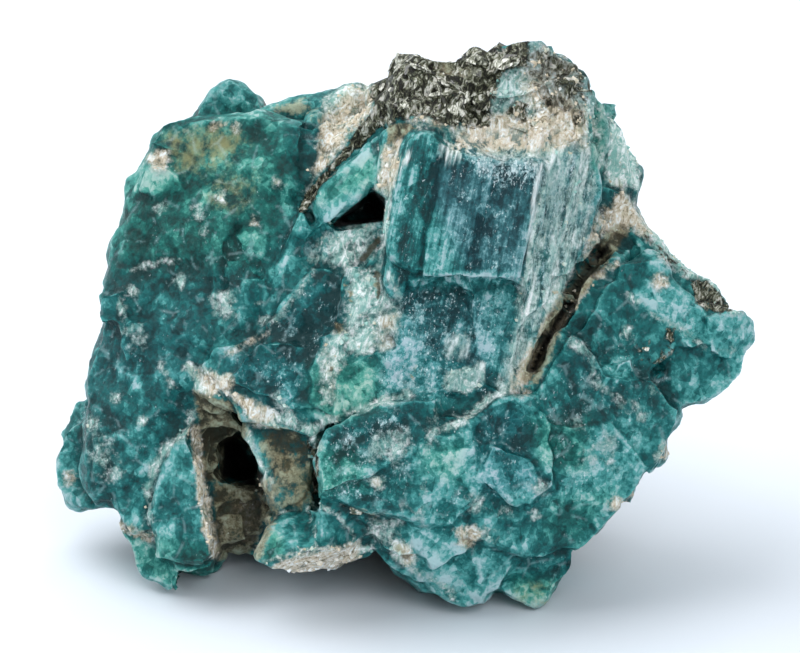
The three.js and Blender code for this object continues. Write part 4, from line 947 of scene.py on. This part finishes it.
def in_sight(spots, near, facing):
    """1 where the camera sees the surface and just behind that, and 0 further back: the
    depth behind the nearest point is eased, and so is how far the surface is turned away."""
    front, cell = nearest(spots, near, SIGHT_CELL)
    behind = front[cell] - near
    turned_to = eased((facing - TURNED_FROM) / TURNED_FADE)
    in_front = eased((SKIN_DEPTH - behind) / SKIN_FADE)
    return eased((SIGHT_DEPTH - behind) / DEPTH_FADE) * np.maximum(turned_to, in_front)


def store(mesh, name, values):
    """Keeps a value from 0 to 1 for each vertex."""
    layer = mesh.attributes.new(name, "FLOAT", "POINT")
    layer.data.foreach_set("value", np.clip(values, 0.0, 1.0).astype(np.float32))


# How sharply the surface bulges at an edge, or lies in a hollow. The material uses these for
# painted highlights on the edges and painted shade in the hollows.
EDGE_BULGE = 0.07
HOLLOW_DEPTH = 0.6
rounded = averaged(points, edges, 8)
bulge = ((points - rounded) * outward).sum(1)
broad = ((points - averaged(rounded, edges, 50)) * outward).sum(1)
store(stone_mesh, "edge", bulge / EDGE_BULGE)
store(stone_mesh, "hollow_shade", -bulge / EDGE_BULGE - broad / HOLLOW_DEPTH)


def rough(size, salt, octaves=4):
    """Noise over the stone with ever finer hills, each half the size and height of the last."""
    total = np.zeros(len(points))
    for k in range(octaves):
        total += waves(points, size / 2**k, salt + k) / 2**k
    return total


def patches(size, salt, start, over, octaves=4):
    """Patches about `size` apart: noise, eased from 0 at `start` to 1 when `over` more."""
    return eased((rough(size, salt, octaves) - start) / over)


# Out of the camera's sight, the same minerals lie in patches and thin veins through the rock.
VEIN_WIDTH = 0.035
veins = eased(1.7 - np.abs(rough(7.0, 37, 3)) / VEIN_WIDTH)
mica_noise = rough(7.5, 43)
shade_noise = rough(4.0, 49)
unseen = {
    "crust": np.maximum(0.8 * patches(6.0, 31, 0.25, 0.5), 0.8 * veins),
    "warm": patches(5.0, 55, -0.3, 0.8),
    "mica": 0.85 * eased((mica_noise - 0.42) / 0.3),
    "brown": 0.6 * eased((-0.35 - mica_noise) / 0.3) + 0.5 * eased(-broad / 0.5 - 0.4),
    "olive": 0.4 * patches(5.0, 61, 0.4, 0.4),
    "hole_shade": np.zeros(len(points)),
    "lighter_and_painted_light": 0.8 * eased((shade_noise - 0.2) / 0.6),
    "darker_and_painted_shade": 0.8 * eased((-0.2 - shade_noise) / 0.6),
    "blue": 0.7 * patches(6.0, 67, 0.1, 0.5),
    "green": 0.7 * patches(6.0, 73, 0.1, 0.5),
    "fibre": 0.8 * patches(9.0, 79, 0.1, 0.4, 2),
    "sugar": 0.7 * patches(5.0, 83, -0.1, 0.6),
}
drawn_marks = {
    "crust": PALE_CRUST, "warm": WARM, "mica": DARK_MICA, "brown": BROWN, "olive": OLIVE,
    "hole_shade": SHADED_HOLES, "lighter_and_painted_light": LIGHTER_AND_PAINTED_LIGHT, "darker_and_painted_shade": DARKER_AND_PAINTED_SHADE, "blue": BLUE, "green": GREEN, "fibre": FIBRE,
    "sugar": SUGAR,
}
spots, near = seen(points)
sight = averaged(in_sight(spots, near, outward @ TOWARDS)[:, None], edges, 3)[:, 0]
shown = sight > 0.0
for name, marks in drawn_marks.items():
    share = unseen[name]
    share[shown] += sight[shown] * (marked(spots[shown], marks) - share[shown])
    store(stone_mesh, name, share)


# The stone: its material.
# Mottled glassy crystal with fine sparkles, partly painted glints, under pale feldspar crust,
# dark mica with a painted silver sheen, and brown dirt. Each mineral lies where its share says,
# with an edge broken up by noise. Painted highlights lighten the edges, and painted shade darkens
# the hollows and blackens the deep holes.

BLUE_BLACK = linear(0, 46, 48)
DEEP = linear(2, 72, 74)
TEAL = linear(16, 98, 98)
LIGHT = linear(72, 150, 148)
FROST = linear(156, 188, 192)
WHITE_SPECK_AND_GLINT = linear(206, 222, 226)
SLATE_DARK = linear(18, 52, 60)
SLATE = linear(58, 106, 112)
SLATE_PALE = linear(136, 178, 180)
TAUPE = linear(126, 118, 98)
SAND = linear(190, 178, 154)
CREAM = linear(212, 202, 184)
PALE_TEAL = linear(124, 174, 166)
MINT_WHITE = linear(178, 204, 198)
WHITE = linear(238, 244, 244)
MICA_BLACK = linear(24, 24, 18)
MICA_DARK = linear(56, 58, 46)
MICA_GREY = linear(102, 106, 84)
MICA_PALE = linear(164, 166, 150)
# The mica's painted sheen.
PAINTED_SILVER_SHEEN = linear(216, 216, 208)
EARTH_DARK = linear(64, 58, 42)
EARTH = linear(132, 124, 98)
EARTH_PALE = linear(160, 166, 142)
OLIVE_STAIN = linear(150, 150, 104)
HOLE_SHADE_BLACK = linear(2, 3, 3)

# What the crystal's colour is multiplied by where it is greener, and where it is bluer.
GREENER = (1.0, 1.04, 0.8, 1.0)
BLUER = (1.1, 0.93, 1.02, 1.0)

# Rows of colours from dark to light, each with the value at which it is whole.
CRYSTAL_TONES = [(0.22, BLUE_BLACK), (0.38, DEEP), (0.53, TEAL), (0.7, LIGHT), (0.86, FROST)]
SLATE_TONES = [(0.26, SLATE_DARK), (0.52, SLATE), (0.8, SLATE_PALE)]
WARM_TONES = [(0.32, TAUPE), (0.41, SAND), (0.52, CREAM), (0.68, WHITE)]
COOL_TONES = [(0.36, PALE_TEAL), (0.52, MINT_WHITE), (0.67, WHITE)]
EARTH_TONES = [(0.36, EARTH_DARK), (0.54, EARTH), (0.7, EARTH_PALE)]
MICA_TONES = [
    (0.38, MICA_BLACK), (0.46, MICA_DARK), (0.54, MICA_GREY), (0.6, MICA_PALE), (0.67, PAINTED_SILVER_SHEEN),
]


def attribute(tree, name):
    """One of the values kept on the mesh."""
    return wire(tree, "Attribute", {}, "Fac", attribute_name=name)


def sum_of(tree, a, b):
    """One number plus another."""
    return wire(tree, "Math", {0: a, 1: b}, operation="ADD")


def product(tree, a, b):
    """One number times another."""
    return wire(tree, "Math", {0: a, 1: b}, operation="MULTIPLY")


def vector_sum(tree, a, b):
    """One vector plus another."""
    return wire(tree, "VectorMath", {0: a, 1: b}, operation="ADD")


def added(tree, total, terms):
    """The total with each term's part added: the term, less its middle value, times its
    weight."""
    for value, middle, weight in terms:
        total = sum_of(tree, total, product(tree, sum_of(tree, value, -middle), weight))
    return total


def blended(tree, share, a, b):
    """a where the share is 0, and b where it is 1: a plus the share of b less a."""
    return sum_of(tree, a, product(tree, share, sum_of(tree, b, product(tree, a, -1.0))))


def toned(tree, value, tones):
    """The value turned into a colour by a row of tones."""
    ramp = tree.nodes.new("ShaderNodeValToRGB")
    elements = ramp.color_ramp.elements
    while len(elements) < len(tones):
        elements.new(0.5)
    for element, (position, colour) in zip(elements, tones):
        element.position = position
        element.color = colour
    tree.links.new(value, ramp.inputs["Fac"])
    return ramp.outputs["Color"]


def noise(tree, where, scale, detail=4.0, roughness=0.55, distortion=0.0):
    """Cloudy noise round 0.5, with about `scale` clouds to the millimetre."""
    settings = {"Vector": where, "Scale": scale, "Detail": detail}
    settings.update({"Roughness": roughness, "Distortion": distortion})
    return wire(tree, "TexNoise", settings, "Fac")


def cells(tree, where, scale=1.0):
    """Flat-sided cells, each with its own random colour."""
    return wire(tree, "TexVoronoi", {"Vector": where, "Scale": scale}, "Color")


def red_of(tree, colour):
    """The first number of a colour, as one random number for each cell."""
    return wire(tree, "SeparateXYZ", {0: colour}, 0)


def drawn_out(tree, place, across, along, out):
    """The place in the prism's own directions, each times its own factor, so that a pattern
    on it is stretched where the factor is small."""
    parts = {}
    for key, direction in (("X", ACROSS * across), ("Y", ALONG * along), ("Z", TOWARDS * out)):
        both = {0: place, 1: tuple(direction)}
        parts[key] = wire(tree, "VectorMath", both, "Value", operation="DOT_PRODUCT")
    return wire(tree, "CombineXYZ", parts)


def ragged(tree, name, breakup, reach, soft):
    """How much of a mineral shows: its share plus the noise, eased about a half, so that its
    edge is ragged. Nothing shows where the share is 0."""
    share = attribute(tree, name)
    pushed = product(tree, sum_of(tree, breakup, -0.5), reach)
    shows = between(tree, sum_of(tree, share, pushed), 0.5 - soft, 0.5 + soft)
    return product(tree, shows, between(tree, share, 0.0, 0.3))


class Grain:
    """The noises that the stone's colour and relief are made of, from coarse to fine, and
    the shares of the surface that more than one mineral reads."""

    def __init__(self, tree, place):
        self.fibre = attribute(tree, "fibre")
        self.sugar = attribute(tree, "sugar")
        self.blue = attribute(tree, "blue")
        # The edge share lays a painted highlight, the hollow share a painted shade.
        self.edge = attribute(tree, "edge")
        self.hollow_shade = attribute(tree, "hollow_shade")
        self.clouds = noise(tree, place, 0.35, 3.0)
        self.mottle = noise(tree, place, 1.3, 6.0, 0.65)
        self.fine = noise(tree, place, 4.5, 6.0, 0.75)
        self.blocks = cells(tree, place, 1.7)
        self.grit = cells(tree, place, 5.5)
        self.flakes = cells(tree, drawn_out(tree, place, 3.4, 2.2, 3.0))
        self.bands = noise(tree, drawn_out(tree, place, 1.3, 0.08, 0.8), 1.0, 2.0, 0.5)
        self.streak = noise(tree, drawn_out(tree, place, 2.4, 0.3, 2.0), 1.0, 5.0, 0.65)
        self.lines = noise(tree, drawn_out(tree, place, 7.0, 0.45, 5.0), 1.0, 5.0, 0.62)
        self.speck = noise(tree, drawn_out(tree, place, 9.0, 4.5, 7.0), 1.0, 3.0, 0.75)
        self.folds = noise(tree, drawn_out(tree, place, 2.8, 1.4, 2.0), 1.0, 6.0, 0.7, 1.5)
        folded = blended(tree, self.fibre, self.folds, self.streak)
        more = [(folded, 0.5, 0.5), (self.fine, 0.5, 0.45), (self.mottle, 0.5, 0.2)]
        self.crumbs = added(tree, folded, more)


def breakup(tree, grain):
    """What breaks up the edge of every patch: noise, drawn out where there are fibres."""
    even = added(tree, product(tree, grain.fine, 0.35), [(grain.mottle, 0.0, 0.65)])
    drawn = added(tree, product(tree, grain.lines, 0.35), [(grain.streak, 0.0, 0.65)])
    return blended(tree, product(tree, grain.fibre, 1.1), even, drawn)


def crystal_colour(tree, grain, broken):
    """Glassy crystal: noises, cells and shares added up to one shade, which picks the colour
    out of the tones. Sugary crystal is grainy, and a prism is striped."""
    grainy = product(tree, sum_of(tree, grain.fine, -0.5), sum_of(tree, grain.sugar, 0.4))
    shade = added(tree, 0.483, [
        (grain.clouds, 0.5, 0.62), (grain.mottle, 0.5, 0.36), (grainy, 0.0, 0.9),
        (red_of(tree, grain.blocks), 0.5, 0.16), (red_of(tree, grain.flakes), 0.5, 0.17),
        (red_of(tree, grain.grit), 0.5, 0.12),
        # The lighter and darker shares are partly painted light and painted shade.
        (attribute(tree, "lighter_and_painted_light"), 0.0, 0.25), (attribute(tree, "darker_and_painted_shade"), 0.0, -0.2),
        # Painted highlight on the edges, and painted shade in the hollows.
        (grain.edge, 0.0, 0.19), (grain.hollow_shade, 0.0, -0.13),
    ])
    stripes = added(tree, -0.03, [(grain.lines, 0.5, 0.7), (grain.bands, 0.5, 0.9)])
    shade = sum_of(tree, shade, product(tree, stripes, grain.fibre))
    colour = toned(tree, shade, CRYSTAL_TONES)
    slaty = product(tree, product(tree, grain.blue, grain.fibre), 0.5)
    colour = mixed(tree, slaty, colour, toned(tree, shade, SLATE_TONES))
    colour = mixed(tree, attribute(tree, "green"), colour, GREENER, "MULTIPLY")
    colour = mixed(tree, grain.blue, colour, BLUER, "MULTIPLY")
    stain = product(tree, ragged(tree, "olive", broken, 4.5, 0.5), 0.65)
    return mixed(tree, stain, colour, OLIVE_STAIN)


def with_cracks(tree, place, grain, colour):
    """The colour with healed cracks over it, pale and broken, and none along the fibres:
    thin bands where the cells of a bent pattern meet."""
    bends = wire(tree, "TexNoise", {"Vector": place, "Scale": 0.4, "Detail": 1.0}, "Color")
    bent = vector_sum(tree, place, scaled(tree, bends, 0.7))
    pattern = {"Vector": bent, "Scale": 0.6}
    crack = wire(tree, "TexVoronoi", pattern, "Distance", feature="DISTANCE_TO_EDGE")
    healed = product(tree, between(tree, crack, 0.07, 0.0), between(tree, grain.mottle, 0.48, 0.58))
    healed = product(tree, healed, blended(tree, grain.fibre, 1.0, 0.0))
    return mixed(tree, product(tree, healed, 0.25), colour, FROST)


def with_sugar(tree, grain, colour):
    """The colour with frosted patches, white specks and painted glints, and dark specks between
    them.
    """
    frost = added(tree, product(tree, grain.fine, 0.4), [
        (grain.speck, 0.0, 0.3), (grain.mottle, 0.0, 0.3), (grain.sugar, 0.0, 0.15),
        (red_of(tree, grain.flakes), 0.5, 0.06),
    ])
    colour = mixed(tree, product(tree, between(tree, frost, 0.59, 0.69), 0.7), colour, FROST)
    # White specks: partly white grains, partly painted glints.
    specks_and_glints = added(tree, grain.speck, [(grain.sugar, 0.0, 0.17), (grain.mottle, 0.5, 0.35)])
    colour = mixed(tree, product(tree, between(tree, specks_and_glints, 0.705, 0.78), 0.85), colour, WHITE_SPECK_AND_GLINT)
    # Fewer dark specks on the edges, under their painted highlight.
    darken = added(tree, grain.fine, [(grain.sugar, 0.0, -0.06), (grain.edge, 0.0, 0.1)])
    dark_specks = product(tree, between(tree, darken, 0.38, 0.3), 0.45)
    return mixed(tree, dark_specks, colour, BLUE_BLACK)


def crust_colour(tree, grain):
    """Feldspar crust: crumbs, cream where it is warm and mint where it isn't, bluish in
    places, with slaty crystal bare in streaks along the fibres."""
    warmth = added(tree, attribute(tree, "warm"), [(grain.mottle, 0.5, 1.4)])
    cool, warm = (toned(tree, grain.crumbs, tones) for tones in (COOL_TONES, WARM_TONES))
    colour = mixed(tree, between(tree, warmth, 0.2, 0.8), cool, warm)
    bluish = product(tree, grain.blue, 0.42)
    colour = mixed(tree, bluish, colour, toned(tree, grain.crumbs, SLATE_TONES))
    bare = between(tree, added(tree, grain.streak, [(grain.mottle, 0.5, 0.8)]), 0.47, 0.4)
    return mixed(tree, product(tree, bare, grain.fibre), colour, SLATE)


def mica_colour(tree, grain):
    """Mica: folds whose lightest parts are a painted silver sheen, lighter and darker in patches.
    """
    shade = added(tree, grain.folds, [(grain.folds, 0.5, 0.5), (grain.mottle, 0.5, 0.5)])
    return toned(tree, shade, MICA_TONES)


def dirt_colour(tree, grain):
    """Brown dirt, with painted shade that makes it darker deep in the hollows."""
    shade = added(tree, grain.fine, [(grain.mottle, 0.5, 1.2), (grain.hollow_shade, 0.2, -0.3)])
    return toned(tree, shade, EARTH_TONES)


def facets(tree, grain):
    """The direction the surface faces, with each cell of two sizes leaning its own way."""
    normal = wire(tree, "NewGeometry", {}, "Normal")
    for pattern, lean in ((grain.grit, 0.5), (grain.blocks, 0.3)):
        centred = vector_sum(tree, pattern, (-0.5, -0.5, -0.5))
        normal = vector_sum(tree, normal, scaled(tree, centred, lean))
    return wire(tree, "VectorMath", {0: normal}, operation="NORMALIZE")


def bumps(tree, grain, crust, mica):
    """Fine relief in millimetres: mottled crystal, crumbly crust, lines along the fibres and
    folds in the mica."""
    fine = product(tree, grain.fine, added(tree, 0.09, [(crust, 0.0, -0.05)]))
    height = added(tree, fine, [(grain.mottle, 0.0, 0.07), (crust, 0.0, 0.05)])
    for pattern, share, most in (
        (grain.lines, grain.fibre, 0.14), (grain.folds, mica, 0.35), (grain.crumbs, crust, 0.07),
    ):
        height = sum_of(tree, height, product(tree, product(tree, pattern, share), most))
    return height


def stone_material():
    """All of the stone's minerals in layers: crystal, crust, mica, dirt, and painted shade in black
    holes.
    """
    material, tree, shader, place = new_material("grown_crystal")
    grain = Grain(tree, place)
    broken = breakup(tree, grain)
    crust = ragged(tree, "crust", broken, 3.2, 0.34)
    mica = ragged(tree, "mica", broken, 2.6, 0.12)
    dirt = ragged(tree, "brown", broken, 2.4, 0.2)
    colour = crystal_colour(tree, grain, broken)
    colour = with_cracks(tree, place, grain, colour)
    colour = with_sugar(tree, grain, colour)
    colour = mixed(tree, product(tree, crust, 0.93), colour, crust_colour(tree, grain))
    colour = mixed(tree, mica, colour, mica_colour(tree, grain))
    colour = mixed(tree, product(tree, dirt, 0.85), colour, dirt_colour(tree, grain))
    # Painted shade: the deep holes are black.
    colour = mixed(tree, between(tree, attribute(tree, "hole_shade"), 0.3, 0.8), colour, HOLE_SHADE_BLACK)
    dull = added(tree, product(tree, grain.fine, 0.4), [
        (crust, 0.0, 0.3), (dirt, 0.0, 0.35), (mica, 0.0, -0.1),
    ])
    relief_here = {"Height": bumps(tree, grain, crust, mica), "Normal": facets(tree, grain)}
    bumped = wire(tree, "Bump", {"Distance": MM, "Strength": 1.0, **relief_here})
    feed(tree, shader, {
        "Base Color": colour, "Roughness": sum_of(tree, dull, 0.15), "Normal": bumped,
        "IOR": 1.58, "Specular IOR Level": 0.17, "Subsurface Weight": 0.08,
        "Subsurface Radius": (0.5, 1.0, 1.0), "Subsurface Scale": 0.4 * MM,
    })
    return material


stone_mesh.materials.clear()
stone_mesh.materials.append(stone_material())
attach(stone, "root")
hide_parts(NODE)


# The mica plates.
# Thin dark flakes of mica that grew flat on the stone like shingles, too many and too thin
# for the solid. They are one joined mesh, set where the stone's own mica shows most.

LOWEST_PLACE = 0.8


def read(name):
    """One of the values kept on the stone's vertices."""
    return numbers_of(stone_mesh.attributes[name].data, "value", 1, np.float32)[:, 0].astype(float)


def scattered(share, count, seed):
    """Random places on the stone, more of them where the share is large and none right at
    the floor: their points, the directions the surface faces there, the nearest vertices,
    and the source of random numbers. A triangle is picked by its size times its share, and
    a point in it evenly."""
    stone_mesh.calc_loop_triangles()
    corners = numbers_of(stone_mesh.loop_triangles, "vertices", 3, np.int64)
    a, b, c = (points[corners[:, k]] for k in range(3))
    size = np.linalg.norm(np.cross(b - a, c - a), axis=1)
    weight = size * share[corners].mean(1) * (a[:, 2] > LOWEST_PLACE)
    random = np.random.default_rng(seed)
    chosen = random.choice(len(corners), count, p=weight / weight.sum())
    u, v = np.sqrt(random.random(count)), random.random(count)
    parts = (1 - u, u * (1 - v), u * v)
    place = sum(corner[chosen] * part[:, None] for corner, part in zip((a, b, c), parts))
    vertex = corners[chosen, 0]
    return place, outward[vertex], vertex, random


def turned_frames(facing, tilt, random):
    """Three directions for each place: the last leans from the surface's by up to the tilt,
    and the other two lie any way round it."""
    lean = facing + (random.random(facing.shape) * 2 - 1) * np.tan(tilt)
    lean /= np.linalg.norm(lean, axis=1)[:, None]
    side = np.cross(lean, random.random(facing.shape) * 2 - 1)
    side /= np.linalg.norm(side, axis=1)[:, None]
    return side, np.cross(lean, side), lean


def joined(name, places, shapes, faces, shades):
    """One mesh of many small bodies: each body's corners about its place, and its shade."""
    count, size = shapes.shape[:2]
    corners = (places[:, None, :] + shapes).reshape(-1, 3)
    starts = np.repeat(np.arange(count) * size, len(faces))
    all_faces = [[int(start) + k for k in face] for start, face in zip(starts, faces * count)]
    mesh = bpy.data.meshes.new(name)
    mesh.from_pydata(corners * MM, [], all_faces)
    store(mesh, "shade", np.repeat(shades, size))
    piece = bpy.data.objects.new(name, mesh)
    bpy.context.scene.collection.objects.link(piece)
    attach(piece, "root")
    return piece


PLATES = 380
PLATE_CORNERS = 6
PLATE_TILT = math.radians(11)
PLATE_SUNK = 0.02
PLATE_WIDTH = 0.5

# In millimetres: the smallest plate's radius and how much larger they come, and the same for
# half their thickness.
PLATE_RADIUS, PLATE_LARGER = 0.12, 0.5
PLATE_THIN, PLATE_THICKER = 0.015, 0.03


def mica_plates():
    """Flat plates with six uneven corners: each corner lies about the middle at its own
    angle and distance, half as far in the second direction as in the first."""
    share = np.clip(read("mica") - 0.3, 0, 1) ** 1.5
    place, facing, _, random = scattered(share, PLATES, 7)
    side, cross, lean = turned_frames(facing, PLATE_TILT, random)
    radius = PLATE_RADIUS + PLATE_LARGER * random.random(PLATES) ** 2
    around = np.arange(PLATE_CORNERS) + 0.5 * random.random((PLATES, PLATE_CORNERS))
    angle = 2 * math.pi * around / PLATE_CORNERS
    reach = radius[:, None] * (0.75 + 0.4 * random.random((PLATES, PLATE_CORNERS)))
    flat = (np.cos(angle) * reach)[..., None] * side[:, None]
    flat = flat + (np.sin(angle) * reach * PLATE_WIDTH)[..., None] * cross[:, None]
    half = PLATE_THIN + PLATE_THICKER * random.random(PLATES)
    thickness = half[:, None, None] * lean[:, None]
    shapes = np.concatenate([flat - thickness, flat + thickness], 1)
    below = list(range(PLATE_CORNERS))
    above = [k + PLATE_CORNERS for k in below]
    after = below[1:] + below[:1]
    faces = [(k, n, above[n], above[k]) for k, n in zip(below, after)]
    faces += [tuple(below[::-1]), tuple(above)]
    place = place - PLATE_SUNK * facing
    return joined("mica_plates", place, shapes, faces, random.random(PLATES))


def mica_material():
    """Streaked dark mica with a glossy coat and a painted silver sheen, each plate a shade of its
    own.
    """
    material, tree, shader, place = new_material("mica")
    streaks = noise(tree, drawn_out(tree, place, 3.6, 1.3, 2.2), 1.0, 6.0, 0.72, 1.2)
    clouded = noise(tree, place, 1.3, 6.0, 0.65)
    shade = added(tree, streaks, [
        (streaks, 0.5, 0.5), (attribute(tree, "shade"), 0.5, 0.2), (clouded, 0.5, 0.5),
    ])
    feed(tree, shader, {
        "Base Color": toned(tree, shade, MICA_TONES),
        "Roughness": sum_of(tree, product(tree, streaks, 0.4), 0.12),
        "Normal": wire(tree, "Bump", {"Height": streaks, "Distance": 0.04 * MM}),
        "IOR": 1.6, "Coat Weight": 0.4, "Coat Roughness": 0.15,
    })
    return material


mica_plates().data.materials.append(mica_material())


# The feldspar grains.
# Blocky grains like coarse sugar, half sunk in the pale crust, too small for the solid. They
# are one joined mesh, set where the stone's own crust shows most.

GRAINS = 2600
GRAIN_TILT = math.radians(60)
GRAIN_SUNK = 0.03
GRAIN_RADIUS, GRAIN_LARGER = 0.04, 0.12
GRAIN_TONES = [(0.1, PALE_TEAL), (0.25, MINT_WHITE), (0.5, SAND), (0.75, CREAM), (0.95, WHITE)]


def feldspar_grains():
    """Uneven blocks: the eight corners of a cube, each pushed in or out by its own amount."""
    share = np.clip(read("crust") - 0.4, 0, 1) * (1 - read("hole_shade")) * (1 - 0.7 * read("mica"))
    share = share * (1 - read("fibre")) * (1 - read("brown"))
    place, facing, vertex, random = scattered(share, GRAINS, 11)
    side, cross, lean = turned_frames(facing, GRAIN_TILT, random)
    radius = GRAIN_RADIUS + GRAIN_LARGER * random.random(GRAINS) ** 3
    cube = np.array([(x, y, z) for x in (-1, 1) for y in (-1, 1) for z in (-1, 1)], float) * 0.62
    blocks = cube[None] * (0.5 + 1.0 * random.random((GRAINS, 8, 3)))
    shapes = blocks @ np.stack([side, cross, lean], 1) * radius[:, None, None]
    faces = [(0, 1, 3, 2), (4, 6, 7, 5), (0, 4, 5, 1), (2, 3, 7, 6), (0, 2, 6, 4), (1, 5, 7, 3)]
    shades = 0.6 * read("warm")[vertex] + 0.4 * random.random(GRAINS)
    return joined("feldspar_grains", place - GRAIN_SUNK * facing, shapes, faces, shades)


def feldspar_material():
    """Pale feldspar that lets a little light in, each grain a shade of its own."""
    material, tree, shader, place = new_material("feldspar")
    clouds = noise(tree, place, 3.0, 5.0, 0.65)
    shade = added(tree, attribute(tree, "shade"), [(clouds, 0.5, 0.8)])
    feed(tree, shader, {
        "Base Color": toned(tree, shade, GRAIN_TONES), "Roughness": 0.5,
        "Normal": wire(tree, "Bump", {"Height": clouds, "Distance": 0.05 * MM}),
        "Subsurface Weight": 0.2, "Subsurface Radius": (1.0, 0.9, 0.8),
        "Subsurface Scale": 0.2 * MM,
    })
    return material


feldspar_grains().data.materials.append(feldspar_material())
